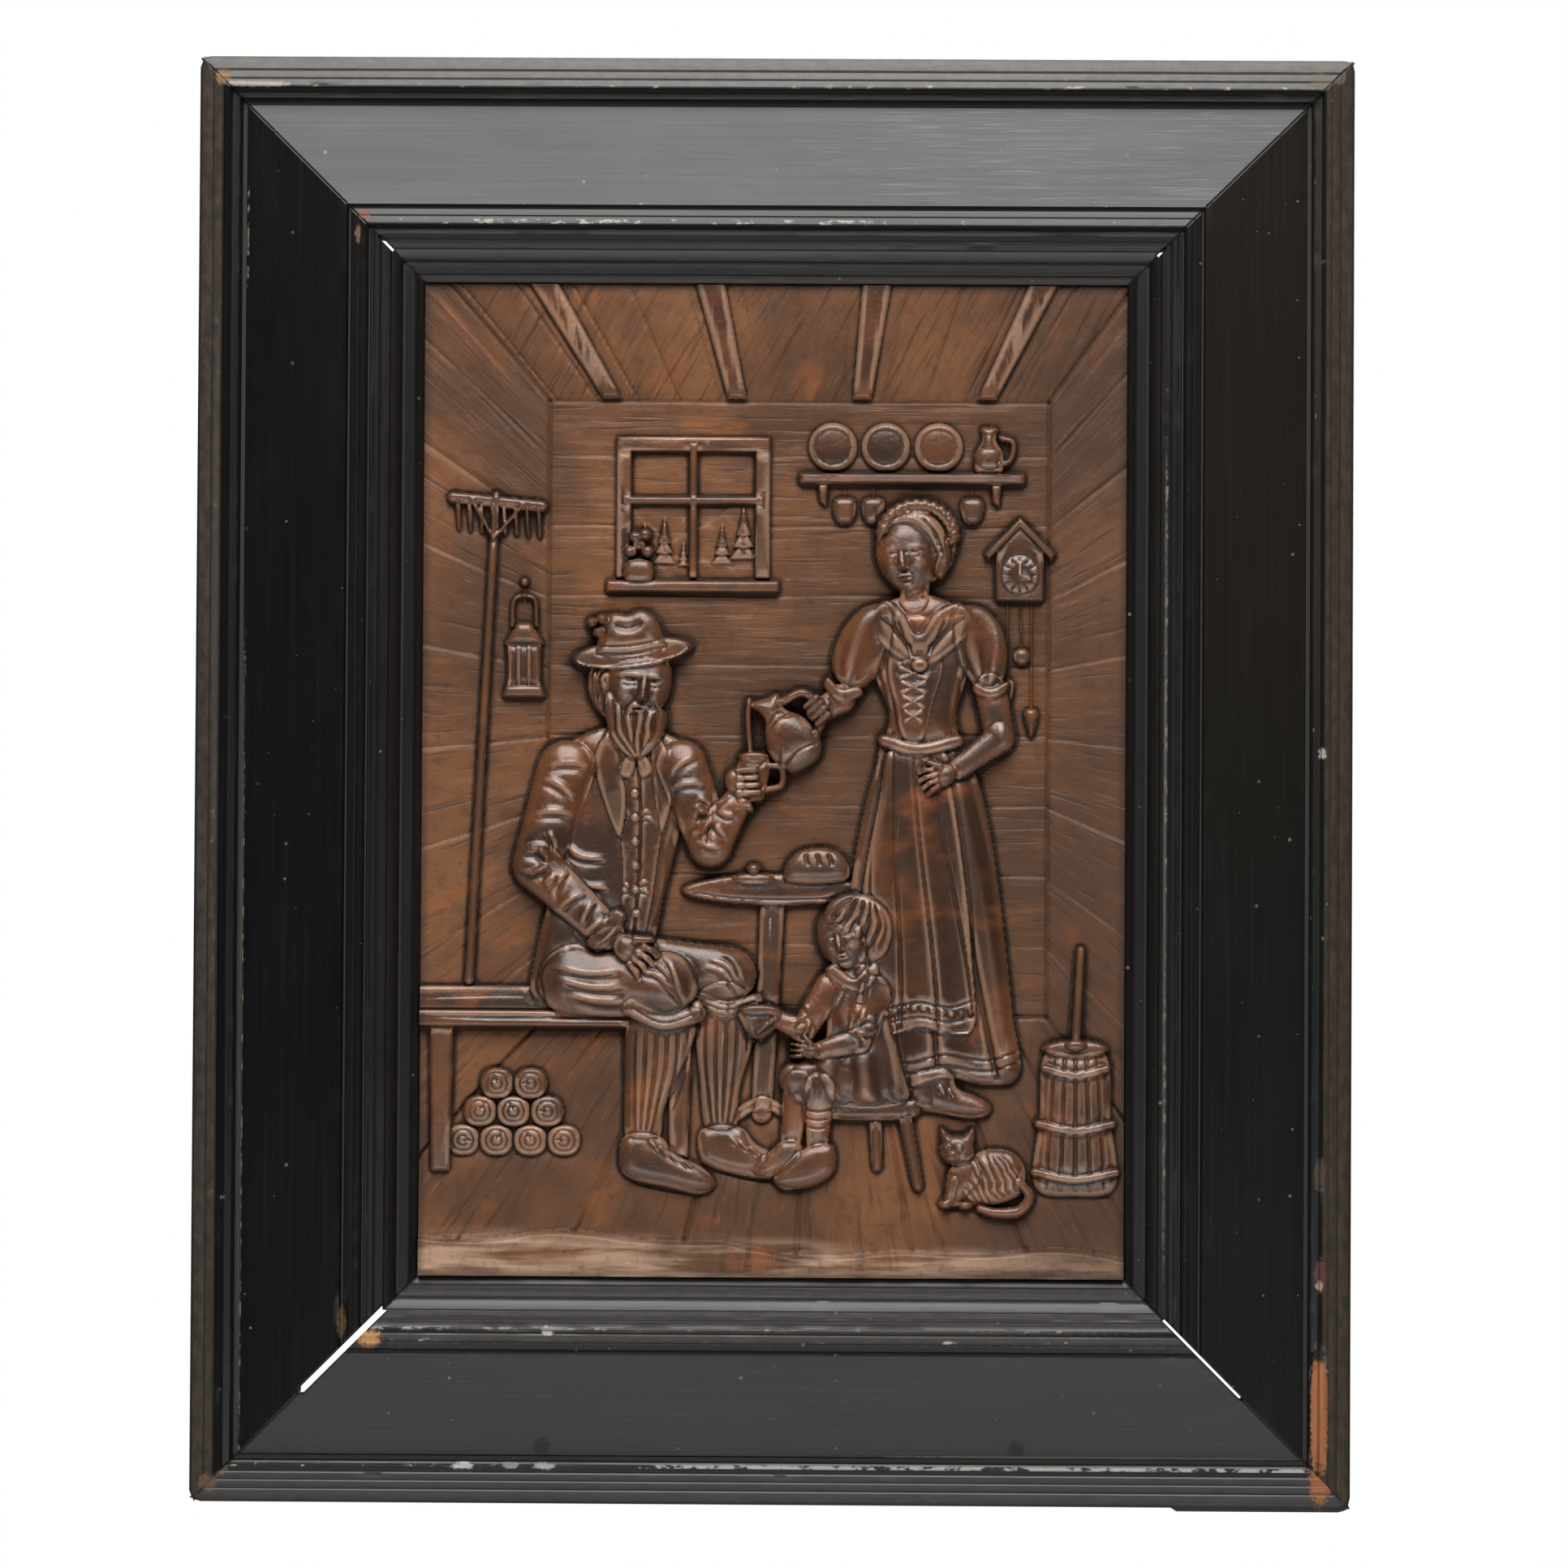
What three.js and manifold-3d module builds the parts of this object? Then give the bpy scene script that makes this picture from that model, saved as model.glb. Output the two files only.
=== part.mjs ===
// A framed relief plaque: four mitred rails of one moulding round a cast relief of a hut scene.
// Millimetres, +Z up, front towards -Y. The origin lies on the back of the top rail, which meets the wall.

import * as THREE from 'three';
import { ConvexGeometry } from 'three/addons/geometries/ConvexGeometry.js';
import { mergeVertices } from 'three/addons/utils/BufferGeometryUtils.js';
import Module from 'manifold-3d';

const wasm = await Module();
wasm.setup();

// Driving dimensions
const FRAME_WIDTH = 480;
const FRAME_HEIGHT = 600;
const MOULDING_WIDTH = 93.5;
const REBATE_WIDTH = 6;
const REBATE_DEPTH = 11.5;
const FIT_GAP = 0.3;
const WALL_FACE_DROP = 44;      // from the frame's top edge down to the origin on the top rail's back
const PANEL_BACK = 3;           // the panel's plain back lies this far in front of the wall
const MITRE_CRACK = 0.21;       // each rail's set-back along a closed mitre
const MITRE_GAPS = {            // where the wood has shrunk open: from and to across the moulding, and set-back
  topLeft: [74.6, 80.6, 0.7], topRight: [78, 81.4, 0.7],
  bottomLeft: [44.4, 79.6, 1.9], bottomRight: [44.4, 77.2, 0.75],
};
const REPAIR = { length: 72, proud: 1.5, height: 21.8 };      // old repair on the bottom rail's outer edge

const CENTRE_Z = WALL_FACE_DROP - FRAME_HEIGHT / 2;
const SIGHT_WIDTH = FRAME_WIDTH - 2 * MOULDING_WIDTH;
const SIGHT_HEIGHT = FRAME_HEIGHT - 2 * MOULDING_WIDTH;
const GROUND = REBATE_DEPTH - FIT_GAP;    // front of the panel's plate, where the relief's heights start

const blackWood = new THREE.MeshStandardMaterial({ color: 0x1d1b19, roughness: 0.45, metalness: 0 });
const brownMetal = new THREE.MeshStandardMaterial({ color: 0x6b4a38, roughness: 0.5, metalness: 0.6 });

// Solids and booleans

function toSolid(geometry) {
  const bare = geometry.clone();
  bare.deleteAttribute('normal');
  bare.deleteAttribute('uv');
  const merged = mergeVertices(bare, 1e-4);
  const triVerts = merged.index
    ? new Uint32Array(merged.index.array)
    : Uint32Array.from({ length: merged.attributes.position.count }, (_, i) => i);
  const mesh = new wasm.Mesh({ numProp: 3, vertProperties: new Float32Array(merged.attributes.position.array), triVerts });
  return new wasm.Manifold(mesh);
}

function toGeometry(solid) {
  const mesh = solid.getMesh();
  const geometry = new THREE.BufferGeometry();
  geometry.setAttribute('position', new THREE.BufferAttribute(mesh.vertProperties, 3));
  geometry.setIndex(new THREE.BufferAttribute(mesh.triVerts, 1));
  geometry.computeVertexNormals();
  return geometry;
}

function joinAll(solids) {
  let parts = solids;
  while (parts.length > 1) {
    const next = [];
    for (let i = 0; i < parts.length; i += 2) {
      next.push(i + 1 < parts.length ? parts[i].add(parts[i + 1]) : parts[i]);
    }
    parts = next;
  }
  return parts[0];
}

// An outline in (x, z), extruded from depth y = -near to y = -far.
function prism(outline, near, far) {
  const shape = new THREE.Shape(outline.map(([x, z]) => new THREE.Vector2(x, z)));
  const geometry = new THREE.ExtrudeGeometry(shape, { depth: far - near, bevelEnabled: false, curveSegments: 6 });
  geometry.rotateX(Math.PI / 2);
  geometry.translate(0, -near, 0);
  return toSolid(geometry);
}

function rectangle(width, height) {
  return [[-width / 2, -height / 2], [width / 2, -height / 2], [width / 2, height / 2], [-width / 2, height / 2]];
}

// Frame: one moulding section, in distance from the outer edge and height above the wall

function mouldingSection() {
  const section = [
    [0, 0], [0, 21.8], [1.1, 23.1], [5.1, 24.15], [5.7, 23.8],                    // three low reeds
    [6.1, 24], [8.8, 24.7], [9.4, 24.4], [9.8, 24.6], [12.2, 25.25], [12.8, 24.9],
    [13.2, 21], [14.2, 20.35], [16.2, 20.3], [17.3, 19],                          // step with a worn arris
    [17.7, 16.9], [19.3, 16.7],                                                   // groove
    [20.8, 17.6], [61.8, 27.95],                                                  // broad face, rising inwards
    [62.7, 26.2], [63.4, 26.2], [63.8, 26.7], [66.2, 27.35], [66.6, 27.05],       // two low reeds
    [67, 27.3], [69.6, 27.95], [70.6, 26.2],
    [70.9, 24.6], [71.5, 24.6], [71.9, 25], [75.2, 24.4], [76.4, 23.3],           // steps down to the sight edge
    [79.6, 22.6], [80.2, 21.9], [84.4, 20], [85, 18.9], [89.6, 18.1], [90.2, 17.2],
    [MOULDING_WIDTH, 15], [MOULDING_WIDTH, REBATE_DEPTH],
    [MOULDING_WIDTH - REBATE_WIDTH, REBATE_DEPTH], [MOULDING_WIDTH - REBATE_WIDTH, 0],
  ];
  return new THREE.Shape(section.map(([u, t]) => new THREE.Vector2(u, t)));
}

// One mitred end as points [set-back along, distance across], from the outer edge inwards.
function mitreLine([from, to, back]) {
  const outer = -5;
  const inner = MOULDING_WIDTH + 5;
  const closed = (u) => [u + MITRE_CRACK, u];
  return [closed(outer), closed(from), [from + back, from], [to + back, to], closed(to), closed(inner)];
}

// A rail is made as a top rail, mitred at both ends, then turned round the frame's centre.
function rail(name, length, toEdge, turn, startGap, endGap, extra = []) {
  const bar = new THREE.ExtrudeGeometry(mouldingSection(), { depth: length, bevelEnabled: false });
  const across = new THREE.Vector3(0, 0, -1);
  const towards = new THREE.Vector3(0, -1, 0);
  const along = new THREE.Vector3(-1, 0, 0);
  bar.applyMatrix4(new THREE.Matrix4().makeBasis(across, towards, along).setPosition(length / 2, 0, toEdge));

  const start = mitreLine(startGap).map(([back, u]) => [-length / 2 + back, toEdge - u]);
  const end = mitreLine(endGap).map(([back, u]) => [length / 2 - back, toEdge - u]).reverse();
  const mitred = prism([...start, ...end], -1, 40);

  const geometry = toGeometry(joinAll([toSolid(bar), ...extra]).intersect(mitred));
  geometry.rotateY(turn);
  const mesh = new THREE.Mesh(geometry, blackWood);
  mesh.name = name;
  mesh.position.z = CENTRE_Z;
  return mesh;
}

function frameRails() {
  const gaps = MITRE_GAPS;
  const edge = FRAME_HEIGHT / 2;
  const repair = prism([
    [-FRAME_WIDTH / 2, edge - 1], [-FRAME_WIDTH / 2 + REPAIR.length, edge - 1],
    [-FRAME_WIDTH / 2 + REPAIR.length, edge + REPAIR.proud], [-FRAME_WIDTH / 2, edge + REPAIR.proud],
  ], 0, REPAIR.height);
  const group = new THREE.Group();
  group.add(
    rail('frame_rail_top', FRAME_WIDTH, edge, 0, gaps.topLeft, gaps.topRight),
    rail('frame_rail_right', FRAME_HEIGHT, FRAME_WIDTH / 2, Math.PI / 2, gaps.topRight, gaps.bottomRight),
    rail('frame_rail_bottom', FRAME_WIDTH, edge, Math.PI, gaps.bottomRight, gaps.bottomLeft, [repair]),
    rail('frame_rail_left', FRAME_HEIGHT, FRAME_WIDTH / 2, -Math.PI / 2, gaps.bottomLeft, gaps.topLeft),
  );
  return group;
}

// Relief forms. Places are (x, z) from the panel's centre; heights are above the panel's ground.

function directions(detail) {
  const sphere = new THREE.IcosahedronGeometry(1, detail);
  const ball = mergeVertices(sphere.deleteAttribute('normal').deleteAttribute('uv'), 1e-4);
  const spots = ball.attributes.position;
  return Array.from({ length: spots.count }, (_, i) => new THREE.Vector3().fromBufferAttribute(spots, i));
}
const fineBall = directions(1);
const coarseBall = directions(0);

const ROOT = 2;    // every form is cast in one with the panel and starts this far below its ground

// A rounded form drawn tight over one or more balls: [x, z, height, radius across, radius up, radius forward].
function form(...balls) {
  const points = [];
  for (const [x, z, height, across, up = across, forward = across] of balls) {
    for (const way of Math.max(across, up) < 5.5 ? coarseBall : fineBall) {
      const spot = new THREE.Vector3(x + across * way.x, ROOT - GROUND, z + up * way.z);
      points.push(spot);
      if (way.y <= 0) points.push(spot.clone().setY(-GROUND - height + forward * way.y));
    }
  }
  return toSolid(new ConvexGeometry(points));
}

// A flat-faced form over corner points [x, z, height].
function facet(...corners) {
  const points = corners.flatMap(([x, z, height]) => [
    new THREE.Vector3(x, -GROUND - height, z), new THREE.Vector3(x, ROOT - GROUND, z),
  ]);
  return toSolid(new ConvexGeometry(points));
}

function block(x, z, width, height, rise) {
  const outline = rectangle(width, height).map(([dx, dz]) => [x + dx, z + dz, rise]);
  return facet(...outline);
}

// Room: back wall at the ground, with sloping floor, side walls and ceiling, all meeting at one far point

const ROOM = { left: -94, right: 114, floor: -98, ceiling: 158, farX: 18, farZ: 28 };
const RELIEF_HALF = { x: SIGHT_WIDTH / 2 - FIT_GAP, z: SIGHT_HEIGHT / 2 - FIT_GAP };
const LEDGE_TOP = -188;

// The height z on the line from the far point through a room corner, out at the panel's side.
function alongView(cornerX, cornerZ, sideX) {
  return ROOM.farZ + ((cornerZ - ROOM.farZ) * (sideX - ROOM.farX)) / (cornerX - ROOM.farX);
}

function roomForms() {
  const { left, right, floor, ceiling } = ROOM;
  const sideX = RELIEF_HALF.x;
  const topZ = RELIEF_HALF.z;
  const leftTop = Math.min(topZ, alongView(left, ceiling, -sideX));
  const rightTop = Math.min(topZ, alongView(right, ceiling, sideX));
  const leftFoot = alongView(left, floor, -sideX);
  const rightFoot = alongView(right, floor, sideX);
  const forms = [
    facet([left, floor, 0.2], [right, floor, 0.2], [sideX, rightFoot, 2.6], [-sideX, leftFoot, 2.6],
      [-sideX, LEDGE_TOP, 5], [sideX, LEDGE_TOP, 5]),
    facet([left, floor, 0.1], [left, ceiling, 0.1], [-sideX, leftTop, 2.2], [-sideX, leftFoot, 2.2]),
    facet([right, floor, 0.1], [right, ceiling, 0.1], [sideX, rightTop, 2.2], [sideX, rightFoot, 2.2]),
    facet([left, ceiling, 0.3], [right, ceiling, 0.3], [sideX, rightTop, 2.8], [-sideX, leftTop, 2.8],
      [-sideX, topZ, 3.2], [sideX, topZ, 3.2]),
    facet([-sideX, LEDGE_TOP - 2, 6], [sideX, LEDGE_TOP - 11, 6], [sideX, -topZ, 7], [-sideX, -topZ, 7]),
  ];
  const beams = 4;
  for (let i = 0; i < beams; i += 1) {
    const backX = left + ((right - left) * (i + 0.5)) / beams;
    const frontX = ROOM.farX + ((backX - ROOM.farX) * (topZ - ROOM.farZ)) / (ceiling - ROOM.farZ);
    const half = 4;
    forms.push(facet([backX - half, ceiling, 3], [backX + half, ceiling, 3],
      [frontX + half * 1.4, topZ, 5.6], [frontX - half * 1.4, topZ, 5.6]));
  }
  return forms;
}

function windowForms() {
  const centre = { x: -34, z: 113.5 };
  const size = { width: 64, height: 59, bar: 6 };
  const forms = [];
  for (const side of [-1, 1]) {
    forms.push(block(centre.x + side * (size.width - size.bar) / 2, centre.z, size.bar, size.height, 2.6));
    forms.push(block(centre.x, centre.z + side * (size.height - size.bar) / 2, size.width, size.bar, 2.6));
  }
  forms.push(block(centre.x, centre.z, 3.2, size.height, 2.4));
  forms.push(block(centre.x, centre.z + 3, size.width, 3, 2.4));
  forms.push(block(centre.x, 80.5, 72, 5, 5));
  forms.push(form([-56.5, 87, 4.2, 5.5, 4, 2]), form([-57, 98, 3.4, 5, 6, 1.8]));      // flowerpot
  return forms;
}

function shelfForms() {
  const board = { x: 57, z: 125.75, width: 94 };
  const forms = [block(board.x, board.z, board.width, 4.5, 5.6)];
  for (const x of [24, 46, 68]) forms.push(form([x, 139, 0.8, 10.2, 10.2, 2.2]));
  forms.push(form([89, 133, 1.8, 5.5, 5, 3.6], [89, 144.5, 1.8, 3.8, 2.4, 3]));
  forms.push(form([98, 138, 2, 1.4, 4, 1.6]));
  for (const x of [29, 41, 82]) {                                                   // cups on hooks
    forms.push(facet([x - 4.4, 117, 4], [x + 4.4, 117, 4], [x + 3.4, 108, 4], [x - 3.4, 108, 4]));
  }
  for (const x of [20, 92]) forms.push(block(x, 119, 3.6, 9, 3.8));
  return forms;
}

function clockForms() {
  const x = 102;
  const z = 86;
  const forms = [
    facet([x - 10, z - 11, 5], [x + 10, z - 11, 5], [x + 10, z + 10, 5], [x, z + 20, 5], [x - 10, z + 10, 5]),
    form([x, z, 5, 7.8, 7.8, 1]),
    form([x - 5, z - 48, 1, 2.6, 6, 3]),
    form([x + 5, z - 60, 1, 2.6, 6, 3]),
    form([x + 1, z - 34, 1.4, 3.6, 3.6, 2.4]),
  ];
  for (const side of [-1, 1]) {
    forms.push(facet([x + side * 13, z + 6, 6.2], [x + side * 15, z + 9, 6.2], [x, z + 24, 6.2], [x, z + 19, 6.2]));
  }
  return forms;
}

function rakeForms() {
  const foot = [-126, -84];
  const head = [-116, 118];
  const forms = [form([...foot, 4, 2, 2, 2], [...head, 4, 2, 2, 2]),
    form([-134, 117, 3.6, 2.6, 2.6, 2.4], [-97, 113.5, 3, 2.6, 2.6, 2.4])];
  const teeth = 8;
  for (let i = 0; i < teeth; i += 1) {
    const x = -132 + 4.8 * i;
    const z = 115 - 0.45 * i;
    forms.push(facet([x - 1, z, 4], [x + 1, z, 4], [x + 1, z - 11, 3.2], [x - 0.2, z - 11, 3.2]));
  }
  return forms;
}

function lanternForms() {
  const x = -104;
  const z = 38;
  return [
    facet([x - 9, z - 4, 5.2], [x + 9, z - 4, 5.2], [x + 7.5, z + 1, 5.2], [x - 7.5, z + 1, 5.2]),
    facet([x - 7, z, 4.6], [x + 7, z, 4.6], [x + 7.4, z + 18, 4.6], [x - 7.4, z + 18, 4.6]),
    facet([x - 8.5, z + 18, 5.4], [x + 8.5, z + 18, 5.4], [x + 3, z + 27, 5.4], [x - 3, z + 27, 5.4]),
    form([x - 5, z + 26, 2.4, 1.1], [x - 4, z + 37, 2.4, 1.1]),
    form([x - 4, z + 37, 2.4, 1.1], [x + 4, z + 37, 2.4, 1.1]),
    form([x + 4, z + 37, 2.4, 1.1], [x + 5, z + 26, 2.4, 1.1]),
    form([x, z + 44, 2.4, 2]),
  ];
}

function tableForms() {
  return [
    form([-31, -46, 2.6, 5, 4, 2.2], [33, -46, 2.6, 5, 4, 2.2], [2, -46, 2.6, 14, 6, 2.4]),
    form([0, -52, 1.8, 5.2, 4, 2.6], [-4, -136, 3.4, 4.4, 4, 3]),
    form([-4, -135, 3.2, 2.6], [-22, -143, 3.2, 2.6]),
    form([-4, -135, 3.2, 2.6], [13, -142, 3.2, 2.6]),
    form([18, -36, 4.4, 13, 7, 3.8]),
    form([-8, -41, 4, 8.5, 3, 2.4]),
  ];
}

function benchForms() {
  const legs = [[-137, -163], [-38, -157]];
  return [
    facet([-146, -86, 5], [-44, -86, 5], [-34, -96, 6.6], [-146, -96, 6.6]),
    facet([-146, -95.5, 7.8], [-34, -95.5, 7.8], [-34, -103, 7.8], [-146, -103, 7.8]),
    ...legs.map(([x, foot]) => facet([x - 5, -98, 6.6], [x + 5, -98, 6.6], [x + 3.5, foot, 6.6], [x - 4.5, foot, 6.6])),
  ];
}

function logForms() {
  const rows = [[4, -128, -150, 5.6], [3, -121, -138, 6], [2, -114, -126.5, 6.4]];
  return rows.flatMap(([count, x, z, rise]) => Array.from({ length: count }, (_, i) => (
    form([x + i * 14, z, rise - 1, 6.9, 6.4, 1.2]))));
}

function churnForms() {
  const x = 126;
  return [
    form([x, -165, 4.8, 16.6, 6, 4.4], [x, -116, 4.8, 12, 4, 4.4]),
    form([x, -111, 7, 13.2, 3.8, 2.6]),
    form([x, -110, 7, 2.2], [x + 2, -71, 5, 2]),
  ];
}

// A shoe from heel to toe.
function shoe(heel, toe, height) {
  return form([heel[0], heel[1], height, 7, 7, 3.6], [toe[0], toe[1], height, 6, 4.6, 3]);
}

function seatedManForms() {
  return [
    form([-60, 39, 6, 13, 17, 5]),                                                    // head
    form([-57, 23, 8.6, 11, 12, 3], [-58, 13, 8.6, 5.6, 4.4, 2.8]),                   // beard
    form([-79, 50, 8, 5, 3.4, 2.4], [-38, 55, 8, 5, 3.4, 2.4], [-59, 51.5, 8.4, 16, 6, 2.6]),      // hat
    form([-59, 57, 8.4, 13.6, 5, 3.8], [-60.5, 64, 8.4, 10.4, 6, 3.8]),
    form([-73, 63.5, 10, 4, 3.4, 2.4]),                                               // flowers in the band
    form([-82, 6, 4.6, 11, 10, 4.6], [-44, 8, 4.6, 10, 10, 4.6], [-66, -46, 4.6, 26, 18, 4.4]),    // coat
    form([-68, -46, 4.6, 26, 14, 4.4], [-76, -82, 4.6, 22, 12, 4.6]),
    form([-86, 4, 6.4, 12, 12, 5], [-98, -36, 7.8, 10, 10, 4.6]),                     // near arm
    form([-98, -36, 7.8, 10, 10, 4.6], [-68, -64, 10.4, 7, 7, 3.6]),
    form([-60, -70, 12, 8, 5.6, 2.8]),                                                // near hand
    form([-38, 6, 5.6, 10.4, 10.4, 4.6], [-26, -27, 7, 9.4, 9.4, 4.6]),               // far arm
    form([-26, -27, 7, 9, 9, 4.6], [-15, -9, 8.4, 6.2, 6.2, 3.4]),
    form([-13, -1, 9.8, 5.6, 6.6, 2.8]),                                              // far hand
    facet([-15, -8, 9], [-14, 9, 9.6], [-2, 10, 9.6], [-3.5, -8, 9]),                 // mug
    form([2, 1, 7.6, 2, 5, 1.6]),
    form([-82, -84, 6, 15, 14, 5], [-44, -85, 8.8, 13.6, 13.6, 4.6]),                 // near thigh
    form([-56, -78, 4, 13, 13, 5], [-18, -81, 6, 11.5, 11.5, 4.6]),                   // far thigh
    form([-46, -97, 6.6, 14, 8, 4.6], [-50, -117, 6, 11, 12, 4.6], [-53.5, -148, 6, 6.6, 5, 4.4]),
    form([-19.5, -93, 5, 12.4, 7, 4.2], [-19.5, -112, 4.4, 11, 10, 4], [-20.5, -145, 4, 6.4, 5, 4]),
    shoe([-55, -160], [-31, -167], 6.6),
    shoe([-22, -157], [0, -162.5], 5),
  ];
}

function standingWomanForms() {
  return [
    form([56, 94, 6.4, 11.4, 14.6, 4.8]),                                             // head
    form([60.5, 99, 5.6, 14, 14, 4.8]),                                               // plaited hair
    form([58, 77, 5, 6.4, 8, 3.6]),                                                   // neck
    form([46, 63, 5, 8, 9, 4.4], [76, 63, 5, 8, 9, 4.4], [61, 22, 5, 14, 8, 4.4]),    // bodice
    form([60, 53, 8, 10, 9, 3]),
    form([36, 56, 6.6, 11, 14, 4.4], [28, 40, 6.6, 7, 5, 4]),                         // sleeves
    form([86, 57, 6, 10.4, 14, 4.4], [90, 40, 6, 7, 5, 4]),
    form([28, 34, 7.6, 6.4, 6.4, 3.6], [18, 28, 9.4, 4.6, 4.6, 3]),                   // arms
    form([90, 36, 6.6, 6.6, 6.6, 3.6], [94, 18, 7.4, 6.2, 6.2, 3.4]),
    form([94, 18, 7.4, 6.2, 6.2, 3.4], [77, 5, 10, 4.6, 4.6, 3]),
    form([18.4, 29.2, 10, 5.6, 5, 2.6]),                                              // hands
    form([69, 2, 10.6, 7, 4.4, 2.8]),
    form([10, 13, 6.4, 10.4, 10.4, 4.6], [0, 27, 6.4, 6, 6, 4.4]),                    // jug
    form([-3.6, 32.5, 6.8, 5.6, 3.4, 3.4]),
    form([4, 32, 8.4, 2, 2, 1.8], [12.4, 36, 8.4, 2, 2, 1.8]),
    form([12.4, 36, 8.4, 2, 2, 1.8], [20.3, 28, 8.4, 2, 2, 1.8]),
    form([20.3, 28, 8.4, 2, 2, 1.8], [17.8, 19.2, 8.4, 2, 2, 1.8]),
    form([62, 12, 4.4, 15, 8, 4.4], [62, -10, 4.4, 25, 12, 4.6]),                     // skirt
    form([62, -10, 4.4, 25, 12, 4.4], [62, -116, 4.4, 40, 9, 4.8]),
    facet([49, 14, 9.4], [70, 14, 9.4], [80, -40, 9.8], [84, -102, 9.8], [60, -105, 9.8], [33, -102, 9.8], [38, -40, 9.8]),
    form([65, -128, 4.4, 8, 7.6, 3.4], [83, -134.5, 4.2, 6, 4.4, 2.8]),               // shoe
  ];
}

function childForms() {
  return [
    form([30, -66, 8, 10.6, 13, 4.4]),                                                // head
    form([36, -61, 7.2, 13, 13, 4.2]),                                                // hair
    form([35, -86, 6, 12, 9, 4.6], [38, -112, 6, 13, 12, 4.6]),                       // smock
    form([38, -114, 6, 13, 12, 4.6], [34, -127, 6, 20, 8, 4.4]),
    form([24, -86, 7, 6.4, 6.4, 3.6], [13, -104, 8.8, 5.6, 5.6, 3]),                  // arms
    form([13, -104, 8.8, 5.6, 5.6, 3], [1, -99, 9.6, 3.6, 3.6, 2.8]),
    form([43, -88, 7, 6.8, 6.8, 3.6], [36, -108, 8.8, 5.6, 5.6, 3.2]),
    form([36, -108, 8.8, 5.6, 5.6, 3.2], [18, -112, 10, 4, 4, 2.8]),
    facet([-13, -96, 11.4], [3, -95, 11.4], [2, -102, 11], [-3, -107, 11], [-8, -107, 11], [-12, -102, 11]),   // bowl
    form([32, -124, 6.4, 9, 9, 4.4], [10, -124, 7.6, 7, 7, 3.6]),                     // lap
    form([11, -126, 6.6, 6.2, 6.2, 3.4], [8, -152, 5.6, 4.6, 4.6, 3]),                // legs
    form([20, -128, 7.4, 6.4, 6.4, 3.2], [19, -154, 6.4, 4.8, 4.8, 3]),
    shoe([7, -156], [-1, -160.5], 5.6),
    shoe([21, -158], [9, -165], 6.4),
    form([39.5, -136, 6, 22, 4.8, 2.8]),                                              // stool
    form([43, -137, 3.4, 2.8], [44, -158, 3.6, 2.4]),
    form([55, -137, 5, 2.8], [61, -166, 5.2, 2.4]),
  ];
}

function catForms() {
  return [
    form([91, -165, 5.6, 13.4, 11, 4.6]),                                             // body
    form([79, -163, 7, 6.6, 10, 3.4]),
    form([77, -153, 8.4, 7.2, 6.4, 4]),                                               // head
    form([71.6, -148, 8.6, 1.9], [70.4, -144.4, 8.4, 0.8]),                           // ears
    form([82.2, -148, 8.6, 1.9], [83.6, -144.4, 8.4, 0.8]),
    form([72.6, -175, 8, 3, 2, 1.8]),                                                 // paws
    form([80.6, -175.6, 7.8, 3, 2, 1.8]),
    form([103, -167, 7.4, 2.6], [106, -172.4, 7.4, 2.6]),                             // tail
    form([106, -172.4, 7.4, 2.6], [101, -177.6, 7.4, 2.6]),
    form([101, -177.6, 7.4, 2.6], [87, -177.4, 7.4, 2]),
  ];
}

function reliefPanel() {
  const plate = prism(
    rectangle(SIGHT_WIDTH + 2 * (REBATE_WIDTH - FIT_GAP), SIGHT_HEIGHT + 2 * (REBATE_WIDTH - FIT_GAP)),
    PANEL_BACK, GROUND,
  );
  const carving = joinAll([
    ...roomForms(), ...windowForms(), ...shelfForms(), ...clockForms(), ...rakeForms(), ...lanternForms(),
    ...tableForms(), ...benchForms(), ...logForms(), ...churnForms(),
    ...seatedManForms(), ...standingWomanForms(), ...childForms(), ...catForms(),
  ]);
  const within = prism(rectangle(2 * RELIEF_HALF.x, 2 * RELIEF_HALF.z), GROUND - 1, GROUND + 20);
  const mesh = new THREE.Mesh(toGeometry(plate.add(carving.intersect(within))), brownMetal);
  mesh.name = 'relief_panel';
  mesh.position.z = CENTRE_Z;
  return mesh;
}

const plaque = new THREE.Group();
plaque.add(frameRails(), reliefPanel());

export default plaque;
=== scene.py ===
import math

import bmesh
import bpy
import numpy as np
from mathutils import Matrix, Vector


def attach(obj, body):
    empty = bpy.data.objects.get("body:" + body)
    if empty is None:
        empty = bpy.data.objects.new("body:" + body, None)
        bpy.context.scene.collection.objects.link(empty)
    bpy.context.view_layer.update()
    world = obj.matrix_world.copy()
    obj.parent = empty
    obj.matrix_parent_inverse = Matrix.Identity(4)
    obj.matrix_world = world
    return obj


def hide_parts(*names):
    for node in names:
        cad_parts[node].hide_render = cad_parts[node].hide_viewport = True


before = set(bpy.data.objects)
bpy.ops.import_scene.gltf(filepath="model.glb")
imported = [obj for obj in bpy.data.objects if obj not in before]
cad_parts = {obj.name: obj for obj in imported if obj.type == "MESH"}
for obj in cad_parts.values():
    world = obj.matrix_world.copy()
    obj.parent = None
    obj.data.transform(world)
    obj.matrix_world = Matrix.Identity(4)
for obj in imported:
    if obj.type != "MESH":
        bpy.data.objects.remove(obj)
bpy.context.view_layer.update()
print("frame loaded")


# Shader helpers

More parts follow.
